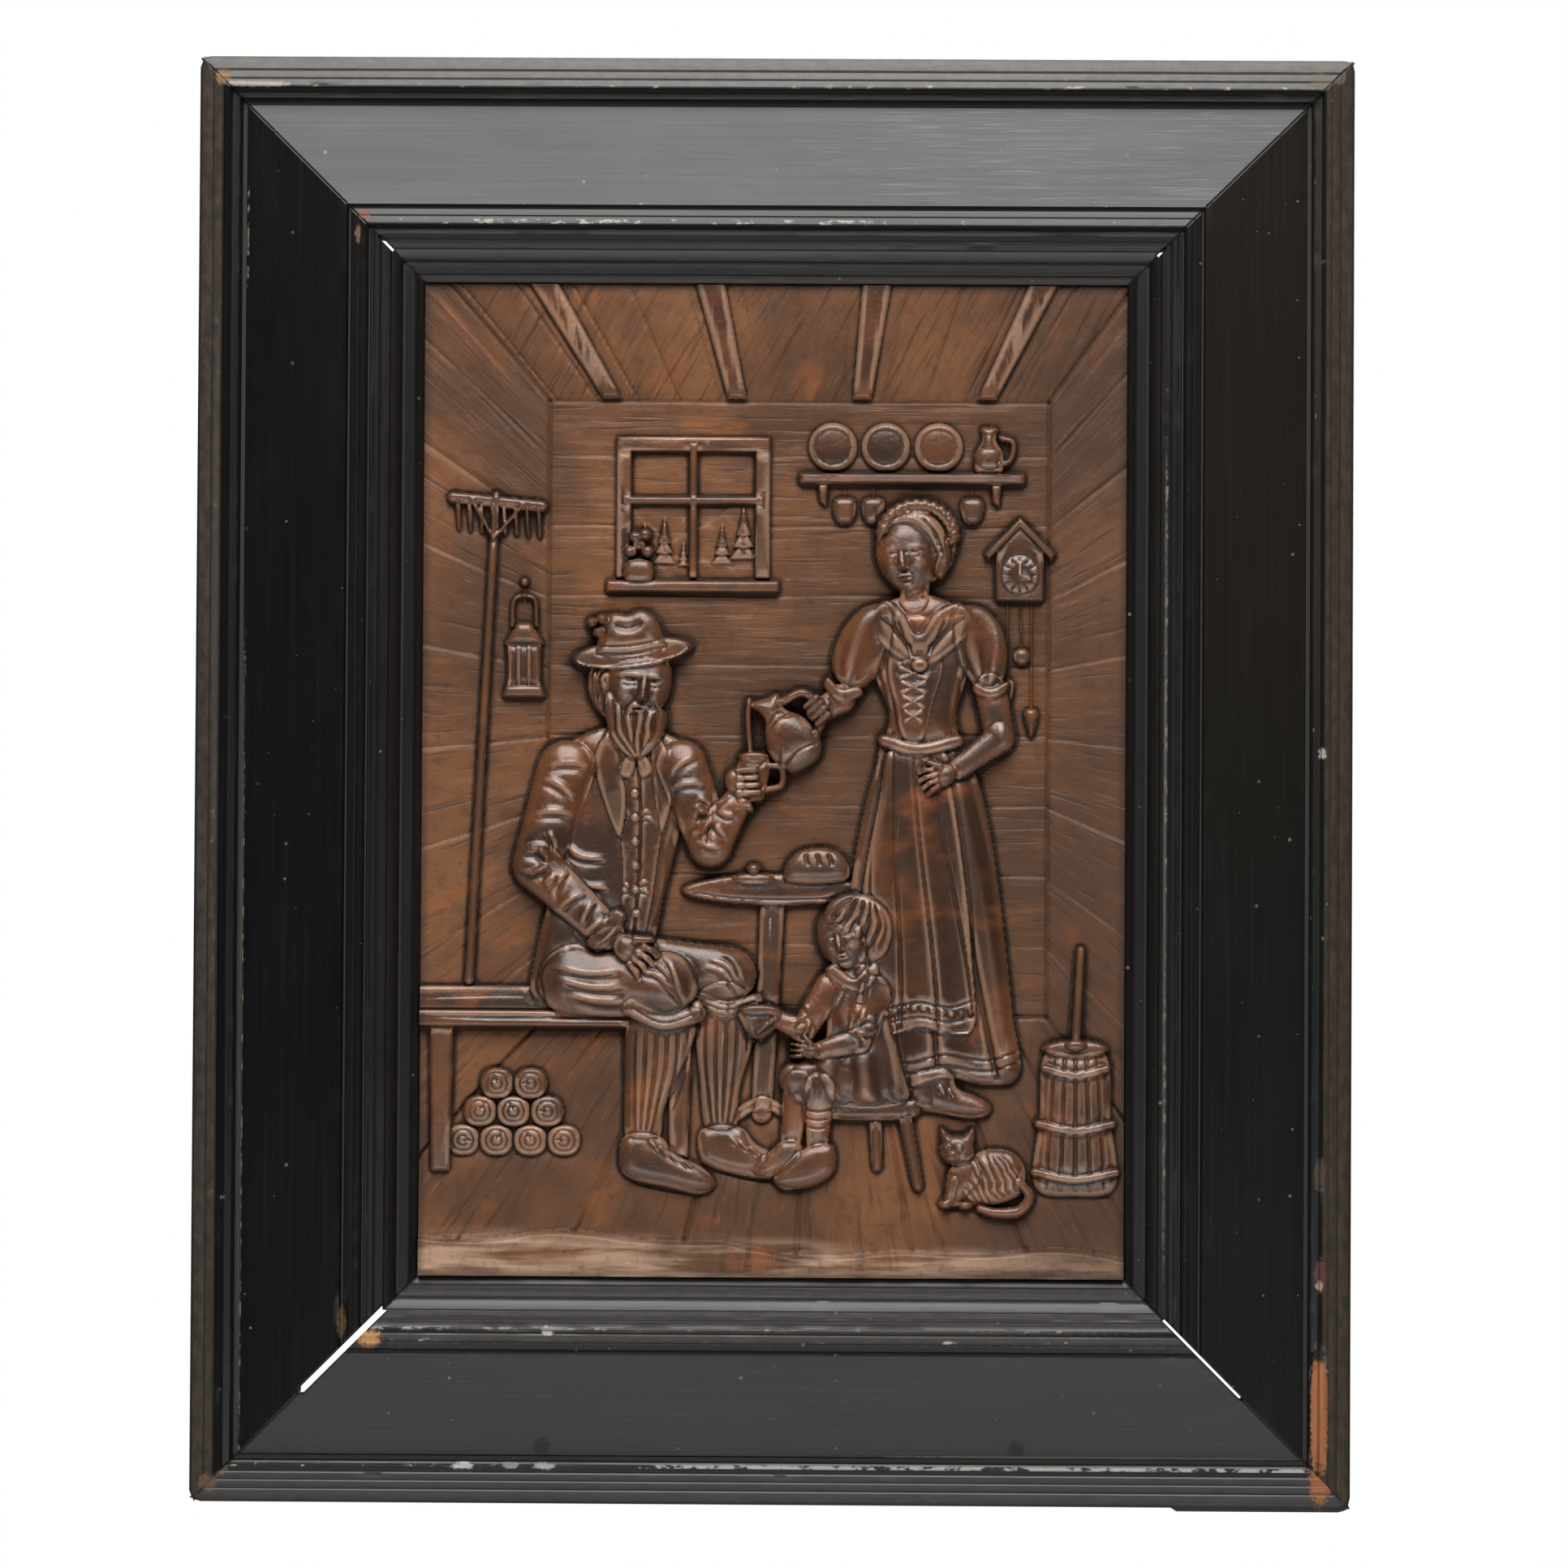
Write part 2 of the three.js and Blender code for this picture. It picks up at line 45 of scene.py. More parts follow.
class Signal:      # a value or colour running through a material
    def __init__(self, finish, socket):
        self.finish, self.socket = finish, socket

    def maths(self, operation, *others):
        values = {0: self}
        for place, other in enumerate(others, start=1):
            values[place] = other
        return self.finish.node("ShaderNodeMath", {"operation": operation}, values)

    def flipped(self, operation, other):
        return self.finish.node("ShaderNodeMath", {"operation": operation}, {0: other, 1: self})

    def __add__(self, other):
        return self.maths("ADD", other)

    def __radd__(self, other):
        return self.flipped("ADD", other)

    def __sub__(self, other):
        return self.maths("SUBTRACT", other)

    def __rsub__(self, other):
        return self.flipped("SUBTRACT", other)

    def __mul__(self, other):
        return self.maths("MULTIPLY", other)

    def __rmul__(self, other):
        return self.flipped("MULTIPLY", other)

    def __truediv__(self, other):
        return self.maths("DIVIDE", other)

    def __pow__(self, other):
        return self.maths("POWER", other)

    def __abs__(self):
        return self.maths("ABSOLUTE")

    def __gt__(self, other):
        return self.maths("GREATER_THAN", other)

    def least(self, other):
        return self.maths("MINIMUM", other)

    def most(self, other):
        return self.maths("MAXIMUM", other)

    def step(self, low, high):      # 0 below low, 1 above high, smooth between
        return self.finish.node("ShaderNodeMapRange", {"interpolation_type": "SMOOTHSTEP"},
                                {"Value": self, "From Min": low, "From Max": high})

    def near(self, centre, width):      # 1 at the centre, falling to 0 at width on both sides
        return 1 - abs(self - centre).step(0.0, width)


class Finish:      # one material and the nodes in it
    def __init__(self, name):
        self.material = bpy.data.materials.new(name)
        self.material.use_nodes = True
        self.tree = self.material.node_tree
        self.shader = self.tree.nodes["Principled BSDF"]

    def node(self, kind, settings=None, values=None, out=0):
        made = self.tree.nodes.new(kind)
        for name, setting in (settings or {}).items():
            setattr(made, name, setting)
        for name, value in (values or {}).items():
            self.join(self.find(made.inputs, name), value)
        return Signal(self, self.find(made.outputs, out))

    def find(self, sockets, name):
        if isinstance(name, int):
            return sockets[name]
        for socket in sockets:
            if socket.identifier == name:
                return socket
        return sockets[name]

    def join(self, socket, value):
        if isinstance(value, Signal):
            self.tree.links.new(value.socket, socket)
        else:
            socket.default_value = value

    def mix(self, factor, first, second):
        return self.node("ShaderNodeMix", {"data_type": "RGBA", "clamp_factor": True},
                         {"Factor_Float": factor, "A_Color": first, "B_Color": second}, "Result_Color")

    def noise(self, vector, scale, detail=2.0, roughness=0.5, distortion=0.0):
        return self.node("ShaderNodeTexNoise", {"noise_dimensions": "3D"},
                         {"Vector": vector, "Scale": scale, "Detail": detail, "Roughness": roughness,
                          "Distortion": distortion})

    def stretch(self, vector, x, y, z):      # the same place, with each direction scaled by its own amount
        return self.node("ShaderNodeVectorMath", {"operation": "MULTIPLY"}, {0: vector, 1: (x, y, z)})

    def place(self):      # object coordinates, in metres
        return self.node("ShaderNodeTexCoord", out="Object")

    def bump(self, height, strength, distance):
        return self.node("ShaderNodeBump",
                         values={"Height": height, "Strength": strength, "Distance": distance})

    def set(self, **values):      # constants and links on the shader's own sockets
        for name, value in values.items():
            self.join(self.shader.inputs[name.replace("_", " ")], value)
        return self.material


def rgb(red, green, blue):      # a colour as it is seen on screen, given 0 to 255
    def linear(v):
        v = v / 255
        return v / 12.92 if v <= 0.04045 else ((v + 0.055) / 1.055) ** 2.4
    return (linear(red), linear(green), linear(blue), 1.0)


def toObject(bm, name):
    mesh = bpy.data.meshes.new(name)
    bm.to_mesh(mesh)
    bm.free()
    made = bpy.data.objects.new(name, mesh)
    bpy.context.scene.collection.objects.link(made)
    return made


def dome(q):                     # height of a rounded edge, from 0 at the edge to 1 at the middle
    q = np.clip(q, 0.0, 1.0)
    return np.sqrt(1.0 - (1.0 - q) ** 2)


def bell(d, width):
    return np.exp(-(d / width) ** 2)


def smooth(low, high, v):
    t = np.clip((v - low) / (high - low), 0.0, 1.0)
    return t * t * (3.0 - 2.0 * t)


def noise(x, z, sizeX, sizeZ, seed):      # smooth random field between -1 and 1
    rng = np.random.default_rng(seed)
    lattice = rng.uniform(-1.0, 1.0, (64, 64))
    gx, gz = x / sizeX, z / sizeZ
    ix, iz = np.floor(gx).astype(int), np.floor(gz).astype(int)
    fx, fz = gx - ix, gz - iz
    fx, fz = fx * fx * (3 - 2 * fx), fz * fz * (3 - 2 * fz)
    a = lattice[iz % 64, ix % 64] * (1 - fx) + lattice[iz % 64, (ix + 1) % 64] * fx
    b = lattice[(iz + 1) % 64, ix % 64] * (1 - fx) + lattice[(iz + 1) % 64, (ix + 1) % 64] * fx
    return a * (1 - fz) + b * fz


def curve(points, closed=False, per=8):      # a smooth line through the given points
    p = np.array(points, float)
    n = len(p)
    if n == 2:
        return p
    rows = []
    spans = n if closed else n - 1
    for i in range(spans):
        p0 = p[(i - 1) % n] if closed or i > 0 else 2 * p[0] - p[1]
        p1, p2 = p[i % n], p[(i + 1) % n]
        p3 = p[(i + 2) % n] if closed or i + 2 < n else 2 * p[n - 1] - p[n - 2]
        for k in range(per):
            t = k / per
            rows.append(0.5 * (2 * p1 + (p2 - p0) * t + (2 * p0 - 5 * p1 + 4 * p2 - p3) * t * t
                               + (3 * p1 - p0 - 3 * p2 + p3) * t ** 3))
    if not closed:
        rows.append(p[-1])
    return np.array(rows)


def nearest(x, z, line, closed=False):      # distance to a line, and how far along it, 0 to 1
    ends = np.roll(line, -1, axis=0) if closed else line[1:]
    starts = line if closed else line[:-1]
    spans = np.hypot(*(ends - starts).T)
    total = max(spans.sum(), 1e-9)
    best = np.full(x.shape, 1e9)
    along = np.zeros(x.shape)
    run = 0.0
    for (ax, az), (bx, bz), span in zip(starts, ends, spans):
        if span < 1e-9:
            continue
        t = np.clip(((x - ax) * (bx - ax) + (z - az) * (bz - az)) / span ** 2, 0, 1)
        d = np.hypot(x - ax - t * (bx - ax), z - az - t * (bz - az))
        closer = d < best
        best = np.where(closer, d, best)
        along = np.where(closer, (run + t * span) / total, along)
        run += span
    return best, along


def insideOf(x, z, line):
    inside = np.zeros(x.shape, bool)
    for (ax, az), (bx, bz) in zip(line, np.roll(line, -1, axis=0)):
        if az == bz:
            continue
        crosses = (az > z) != (bz > z)
        inside ^= crosses & (x < (bx - ax) * (z - az) / (bz - az) + ax)
    return inside


class Carving:      # a panel's heights on an even grid, and the tools that lay forms on it
    def __init__(self, halfX, halfZ, step):
        self.nx, self.nz = int(round(2 * halfX / step)) + 1, int(round(2 * halfZ / step)) + 1
        self.xs = np.linspace(-halfX, halfX, self.nx)
        self.zs = np.linspace(-halfZ, halfZ, self.nz)
        self.h = np.zeros((self.nz, self.nx))
        self.figure = np.zeros((self.nz, self.nx))      # 1 where a form has been laid on the room
        self.along = np.tile(self.xs, (self.nz, 1))      # the boards' own directions, for their grain
        self.across = np.tile(self.zs[:, None], (1, self.nx))
        self.gap = self.xs[1] - self.xs[0]
        self.cutDepth = 0.7
        self.cutWidth = 1.6

    def part(self, x0, x1, z0, z1):      # the stretch of the panel inside a box
        i0, i1 = np.searchsorted(self.xs, [x0, x1])
        j0, j1 = np.searchsorted(self.zs, [z0, z1])
        x, z = np.meshgrid(self.xs[i0:i1], self.zs[j0:j1])
        return slice(j0, j1), slice(i0, i1), x, z

    def around(self, line, reach):      # the stretch of the panel round a line
        (x0, z0), (x1, z1) = line.min(axis=0) - reach, line.max(axis=0) + reach
        return self.part(x0, x1, z0, z1)

    def lay(self, rows, cols, outside, top, cut=1.0):      # cut round a form, then set it in place
        here = self.h[rows, cols]
        inside = smooth(0.75, -0.75, outside / self.gap)
        groove = self.cutDepth * cut * np.exp(-np.maximum(outside, 0) / self.cutWidth)
        top = np.maximum(top, here + 0.1)
        self.h[rows, cols] = inside * top + (1 - inside) * (here - groove)
        self.figure[rows, cols] = np.maximum(self.figure[rows, cols], inside)

    # a rounded boss: base is the height of its edge, rise is how much higher its middle is
    def ball(self, x, z, rx, rz, base, rise, tilt=0.0, cut=1.0, square=2.0):
        reach = max(rx, rz) + 5
        rows, cols, X, Z = self.part(x - reach, x + reach, z - reach, z + reach)
        a = math.radians(tilt)
        u = (X - x) * math.cos(a) + (Z - z) * math.sin(a)
        v = -(X - x) * math.sin(a) + (Z - z) * math.cos(a)
        s = ((np.abs(u) / rx) ** square + (np.abs(v) / rz) ** square) ** (1 / square)
        self.lay(rows, cols, (s - 1) * min(rx, rz), base + rise * dome(1 - s), cut)

    # a rounded bar between two places, each with its own half width and height
    def limb(self, x0, z0, r0, h0, x1, z1, r1, h1, flat=0.5, cut=1.0):
        rows, cols, X, Z = self.around(np.array([(x0, z0), (x1, z1)], float), max(r0, r1) + 5)
        span = (x1 - x0) ** 2 + (z1 - z0) ** 2
        t = np.clip(((X - x0) * (x1 - x0) + (Z - z0) * (z1 - z0)) / max(span, 1e-9), 0, 1)
        r = r0 + (r1 - r0) * t
        d = np.hypot(X - x0 - t * (x1 - x0), Z - z0 - t * (z1 - z0))
        q = 1 - d / r
        self.lay(rows, cols, d - r, h0 + (h1 - h0) * t + r * flat * dome(q), cut)

    def path(self, points, width, base, rise, cut=1.0, ends=1.0):      # a round bar along a smooth line
        line = curve(points)
        rows, cols, X, Z = self.around(line, width + 5)
        d, t = nearest(X, Z, line)
        r = width * (ends + (1 - ends) * np.sin(np.pi * np.clip(t, 0.001, 0.999)))
        q = 1 - d / r
        self.lay(rows, cols, d - r, base + rise * dome(q), cut)

    # a form inside an outline, rounded over a strip as wide as edge
    def shape(self, points, base, rise, edge, cut=1.0, smoothly=True, slope=(0, 0), texture=None):
        line = curve(points, closed=True) if smoothly else np.array(points, float)
        rows, cols, X, Z = self.around(line, 5)
        d = nearest(X, Z, line, closed=True)[0]
        d = np.where(insideOf(X, Z, line), d, -d)
        middle = line.mean(axis=0)
        top = base + rise * dome(d / edge) + slope[0] * (X - middle[0]) + slope[1] * (Z - middle[1])
        if texture is not None:
            top = top + texture(X, Z) * smooth(0, edge * 0.5, d)
        self.lay(rows, cols, -d, top, cut)

    def slab(self, x0, x1, z0, z1, base, rise, edge):      # a form with straight sides
        self.shape([(x0, z0), (x1, z0), (x1, z1), (x0, z1)], base, rise, edge, smoothly=False)

    # a line cut in or raised, only where the surface is above a height
    def stroke(self, points, width, height, above=None, fade=0.25):
        line = curve(points)
        rows, cols, X, Z = self.around(line, width * 3 + 1)
        d, t = nearest(X, Z, line)
        taper = smooth(0, fade, t) * smooth(0, fade, 1 - t) if fade else 1.0
        change = height * bell(d, width) * taper
        if above is not None:
            change = change * smooth(above - 0.4, above, self.h[rows, cols])
        self.h[rows, cols] += change


# The carved scene. Places are millimetres from the panel's centre, heights are above its ground.

room = {"left": -94, "right": 114, "floor": -98, "ceiling": 158, "farX": 18, "farZ": 28, "ledge": -188,
        "plank": 29, "board": 27, "beams": 4, "seam": 0.6, "grain": 0.13}


def boardSeams(places, depth, width, fade):      # shallow joints between boards, stronger in some stretches
    d = np.abs(places - np.round(places))
    return -depth * np.exp(-(d / width) ** 2) * np.clip(0.75 + 0.6 * fade, 0.15, 1.2)


def carveRoom(c):
    rows, cols, X, Z = c.part(-999, 999, -999, 999)
    fx, fz = room["farX"], room["farZ"]
    dx, dz = X - fx, Z - fz
    # 1 at the back wall's corners
    kx = np.where(dx < 0, dx / (room["left"] - fx), dx / (room["right"] - fx))
    kz = np.where(dz < 0, dz / (room["floor"] - fz), dz / (room["ceiling"] - fz))
    k = np.maximum(np.maximum(kx, kz), 1.0)
    back = np.maximum(kx, kz) <= 1
    floor = (kz >= kx) & (dz < 0) & ~back
    ceiling = (kz >= kx) & (dz > 0) & ~back
    side = ~(back | floor | ceiling)
    rise = 1 - 1 / k
    h = np.where(side, 6.5 * rise, 0) + np.where(floor, 11.5 * rise, 0) + np.where(ceiling, 9 * rise, 0)
    fade = noise(X, Z, 46, 34, 3)
    wave = 0.02 * noise(X, Z, 40, 30, 4)
    seam = room["seam"]
    rowBack = Z / room["plank"] + 0.35 + wave
    rowSide = dz / k / room["plank"] + 0.35 + wave
    boards = dx / k / room["board"] + 0.15
    lids = dx / k / 17.0 + 0.4
    h += np.where(back, boardSeams(rowBack, seam, 0.020, fade), 0)
    h += np.where(side, boardSeams(rowSide, seam, 0.026, fade), 0)
    h += np.where(floor, boardSeams(boards, seam * 1.3, 0.022, fade), 0)
    h += np.where(ceiling, boardSeams(lids, seam, 0.03, fade), 0)
    for part, count in ((back, rowBack), (side, rowSide), (floor, boards)):
        cell = np.floor(count)
        h += np.where(part, 0.12 * np.sin(cell * 2.3) + 0.12 * (count - cell - 0.5), 0)
    depth = np.log(k + 0.02) * 150
    c.along[:] = np.where(back, X, np.where(side, depth, np.where(floor, depth * 1.4, X * 0.45 + Z)))
    c.across[:] = np.where(back, Z, np.where(side, dz / k, np.where(floor, dx / k, X - Z * 0.55)))
    h += room["grain"] * (noise(c.along, c.across, 18, 1.6, 11) + noise(c.along, c.across, 34, 3.4, 12))
    h += 0.16 * noise(X, Z, 13, 9, 17) + 0.3 * noise(X, Z, 44, 36, 18)
    c.h[rows, cols] = h
    far = 1.7      # the corner lines run out towards the panel's own corners
    for cx, cz in ((room["left"], room["floor"]), (room["right"], room["floor"]),
                   (room["left"], room["ceiling"]), (room["right"], room["ceiling"])):
        c.stroke([(cx, cz), (fx + (cx - fx) * far, fz + (cz - fz) * far)], 0.8, -0.6, fade=0)
    for start, end in ((("left", "floor"), ("left", "ceiling")), (("right", "floor"), ("right", "ceiling")),
                       (("left", "ceiling"), ("right", "ceiling")),
                       (("left", "floor"), ("right", "floor"))):
        c.stroke([(room[start[0]], room[start[1]]), (room[end[0]], room[end[1]])], 0.8, -0.6, fade=0)
    top = 206.5
    spread = (top - fz) / (room["ceiling"] - fz)
    for i in range(room["beams"]):
        bx = room["left"] + (room["right"] - room["left"]) * (i + 0.5) / room["beams"]
        frontX = fx + (bx - fx) * spread
        c.shape([(bx - 4, room["ceiling"] + 1), (bx + 4, room["ceiling"] + 1), (frontX + 6.5, top + 6),
                 (frontX - 6.5, top + 6)], 1.6, 2.2, 1.8, smoothly=False, slope=(0, 0.03),
                texture=lambda x, z: 0.1 * noise(x, z, 1.6, 15, 21))
    rows, cols, X, Z = c.part(-999, 999, -999, room["ledge"] + 8)
    d = room["ledge"] - 0.033 * (X + 146) - 2.4 * np.sin(X * 0.034 + 0.8) - 1.3 * np.sin(X * 0.09) - Z
    face = 7.4 + 0.5 * noise(X, Z, 30, 6, 31) + 0.3 * noise(X, Z, 9, 1.8, 32)
    lip = c.h[rows, cols]
    c.h[rows, cols] = np.where(d > 0, face * smooth(0, 2.6, d) + (1 - smooth(0, 2.6, d)) * lip,
                               lip - 0.4 * np.exp(np.minimum(d, 0) / 1.4))


def turned(x, z, angle, u, v):      # a place u along and v across a direction
    a = math.radians(angle)
    return x + u * math.cos(a) - v * math.sin(a), z + u * math.sin(a) + v * math.cos(a)


def ring(x, z, rx, rz):      # eight places round an ellipse, closed
    return [(x + rx * math.cos(a * 0.7854), z + rz * math.sin(a * 0.7854)) for a in range(9)]


def carveHead(c, x, z, size, turn, tilt, base, rise, brow=1.0, soft=0.0):
    reach = size * 1.25 + 3
    rows, cols, X, Z = c.part(x - reach, x + reach, z - reach, z + reach)
    a = math.radians(tilt)
    u = ((X - x) * math.cos(a) + (Z - z) * math.sin(a)) / size
    v = (-(X - x) * math.sin(a) + (Z - z) * math.cos(a)) / size
    wide = (0.76 + 0.05 * soft) * (1 + 0.10 * v) - (0.11 - 0.03 * soft) * smooth(0.25, 1.0, -v)
    s = np.sqrt((u / wide) ** 2 + v ** 2)
    middle = turn * 0.36 * np.sqrt(np.clip(1 - (0.85 * v) ** 2, 0, 1))
    f = u - middle
    f = f / np.where(f * turn > 0, 1 - 0.42 * abs(turn), 1 + 0.12 * abs(turn))

    def bump(fx, fv, wx, wv):
        return np.exp(-((f - fx) / wx) ** 2 - ((v - fv) / wv) ** 2)

    def pair(fx, fv, wx, wv):
        return bump(fx, fv, wx, wv) + bump(-fx, fv, wx, wv)

    firm = 1 - 0.45 * soft
    g = 0.05 * brow * firm * pair(0.31, 0.17, 0.22, 0.06)      # brows, sockets, eyeballs, lids
    g -= 0.10 * firm * pair(0.28, 0.03, 0.17, 0.11)
    g += (0.085 + 0.01 * soft) * pair(0.29, -0.005, 0.115, 0.075)
    g -= 0.045 * pair(0.29, 0.065 - 0.01 * soft, 0.13, 0.018)
    g -= (0.05 - 0.02 * soft) * pair(0.29, -0.06, 0.11, 0.02)
    ramp = np.clip((0.12 - v) / 0.42, 0, 1) * smooth(-0.42, -0.34, v)      # nose
    width = 0.06 + (0.035 - 0.01 * soft) * ramp
    bridge = 0.045 - 0.025 * soft + 0.14 * ramp * (1 - 0.25 * soft)
    bridge = bridge * smooth(-0.42, -0.35, v) * smooth(0.26, 0.0, v)
    g += bridge * np.exp(-(f / width) ** 2)
    g += 0.06 * bump(0, -0.31, 0.085, 0.065) + 0.045 * pair(0.11, -0.33, 0.045, 0.04)
    g -= 0.06 * bump(0, -0.43, 0.12, 0.035)
    mouth = 0.25 - 0.06 * soft      # lips and chin
    lips = np.exp(-((f / mouth) ** 4))
    bow = 0.02 * np.cos(np.clip(f / mouth, -1, 1) * math.pi)
    g += (0.04 + 0.015 * soft) * lips * np.exp(-((v + 0.525 - bow) / 0.035) ** 2)
    g += (0.05 + 0.02 * soft) * np.exp(-((f / mouth * 1.15) ** 4)) * np.exp(-((v + 0.615) / 0.042) ** 2)
    g -= 0.07 * lips * np.exp(-((v + 0.568 - 0.10 * f * f) / 0.016) ** 2)
    g -= 0.04 * bump(0, -0.70, 0.17, 0.035)
    g += 0.07 * bump(0, -0.84, 0.15, 0.10)
    g += (0.045 + 0.03 * soft) * pair(0.40, -0.24, 0.18, 0.19)
    g -= 0.02 * firm * pair(0.27, -0.48, 0.045, 0.12)
    top = base + rise * dome(1 - s) + g * size * smooth(0, 0.25, 1 - s)
    c.lay(rows, cols, (s - 1) * size * 0.8, top)
    if abs(turn) > 0.15:
        side = -1 if turn > 0 else 1
        ex, ez = turned(x, z, tilt, side * size * 0.70, -0.02 * size)
        c.ball(ex, ez, size * 0.10, size * 0.18, base + rise * 0.45, size * 0.09, tilt, cut=0.6)
        c.stroke([turned(ex, ez, tilt, 0, size * 0.1), turned(ex, ez, tilt, 0.02 * size, -size * 0.08)],
                 size * 0.035, -size * 0.06, fade=0.2)


def carveHand(c, x, z, angle, size, base, fingers=4, spread=9, thumb=1, bend=0.0):
    c.ball(*turned(x, z, angle, size * 0.1, 0), size * 0.62, size * 0.46, base, size * 0.34, angle)
    for i in range(fingers):
        v = (i - (fingers - 1) / 2) * size * 0.25
        a = angle + (i - (fingers - 1) / 2) * spread
        x0, z0 = turned(x, z, angle, size * 0.42, v)
        length = size * (0.62 - 0.07 * abs(i - 1.2))
        x1, z1 = turned(x0, z0, a, length * 0.55, 0)
        x2, z2 = turned(x1, z1, a + bend, length * 0.5, 0)
        c.limb(x0, z0, size * 0.135, base + size * 0.2, x1, z1, size * 0.13, base + size * 0.16, 0.9,
               cut=0.5)
        c.limb(x1, z1, size * 0.13, base + size * 0.16, x2, z2, size * 0.105, base + size * 0.04, 0.9,
               cut=0.5)
    if thumb:
        x0, z0 = turned(x, z, angle, size * 0.05, thumb * size * 0.38)
        x1, z1 = turned(x0, z0, angle + thumb * 38, size * 0.5, 0)
        c.limb(x0, z0, size * 0.16, base + size * 0.15, x1, z1, size * 0.12, base + size * 0.1, 0.9,
               cut=0.5)


# a raised fold with a valley along its lower side
def fold(c, points, width, height, above, fade=0.35):
    c.stroke(points, width, height, above, fade)
    line = np.array(points, float)
    way = line[-1] - line[0]
    side = np.array([way[1], -way[0]]) / max(np.hypot(*way), 1e-9)
    if side[1] > 0:
        side = -side
    c.stroke([tuple(p + side * width * 1.3) for p in line], width * 0.8, -height * 0.9, above, fade)


# folds that fan out from a bend or a button
def drag(c, x, z, angles, near, long, width, height, above, bow=0.12):
    for i, angle in enumerate(angles):
        reach = long * (0.78 + 0.22 * math.sin(i * 2.1 + angle))
        start, end = turned(x, z, angle, near, 0), turned(x, z, angle, reach, 0)
        middle = turned(x, z, angle, (near + reach) / 2, bow * reach * (1 if i % 2 else -1))
        fold(c, [start, middle, end], width * (0.85 + 0.15 * (i % 3)), height, above, fade=0.4)


# rumples lying across a sleeve or leg
def cross(c, x0, z0, r0, x1, z1, r1, places, width, height, above, lean=0.3):
    angle = math.degrees(math.atan2(z1 - z0, x1 - x0))
    length = math.hypot(x1 - x0, z1 - z0)
    for i, t in enumerate(places):
        r = (r0 + (r1 - r0) * t) * 0.92
        flip = 1 if i % 2 else -1
        line = [turned(x0, z0, angle, t * length + lean * r * k * flip - 0.25 * r * (1 - k * k), r * k)
                for k in (-0.96 * flip, -0.4 * flip, 0.2 * flip, 0.8 * flip)]
        fold(c, line, width, height, above, fade=0.45)


# fine locks, laid between two edge lines
def strands(c, first, last, width, depth, above, wave=0.0, count=7):
    a, b = curve(first), curve(last)
    for i in range(count):
        k = (i + 0.5) / count
        row = []
        for j in range(5):
            pa, pb = a[int(round(j / 4 * (len(a) - 1)))], b[int(round(j / 4 * (len(b) - 1)))]
            p = pa + (pb - pa) * k
            row.append((p[0] + wave * math.sin(j * 1.9 + i * 1.3), p[1]))
        c.stroke(row, width, -depth if i % 2 == 0 else depth * 0.7, above, fade=0.15)


def carveHat(c, x, z, wide, tilt, base):
    c.ball(*turned(x, z, tilt, 0, -0.5), wide, wide * 0.25, base, 2.2, tilt)
    crown = [(-0.56, 0.04), (-0.54, 0.3), (-0.45, 0.56), (-0.24, 0.68), (0.0, 0.63), (0.22, 0.68),
             (0.44, 0.55), (0.53, 0.28), (0.55, 0.02), (0.3, -0.07), (0, -0.1), (-0.3, -0.07)]
    c.shape([turned(x, z, tilt, u * wide, v * wide) for u, v in crown], base + 0.2, 3.6, wide * 0.42)
    for k in (0.03, 0.17):
        c.stroke([turned(x, z, tilt, u * wide, (k - 0.08 * (1 - (u / 0.6) ** 2)) * wide)
                  for u in (-0.55, -0.3, 0, 0.3, 0.55)], 0.6, -0.8, base + 1, fade=0)
    c.stroke([turned(x, z, tilt, u * wide, (0.5 - 0.12 * (1 - (u / 0.3) ** 2)) * wide)
              for u in (-0.28, 0, 0.28)], 1.6, -1.0, base + 1)
    brim = [(u * wide, -0.03 * wide - 0.215 * wide * math.sqrt(max(0, 1 - (u / 0.98) ** 2)))
            for u in (-0.97, -0.8, -0.55, -0.28, 0, 0.28, 0.55, 0.8, 0.97)]
    c.stroke([turned(x, z, tilt, u, v) for u, v in brim], 0.8, 0.9, base, fade=0)


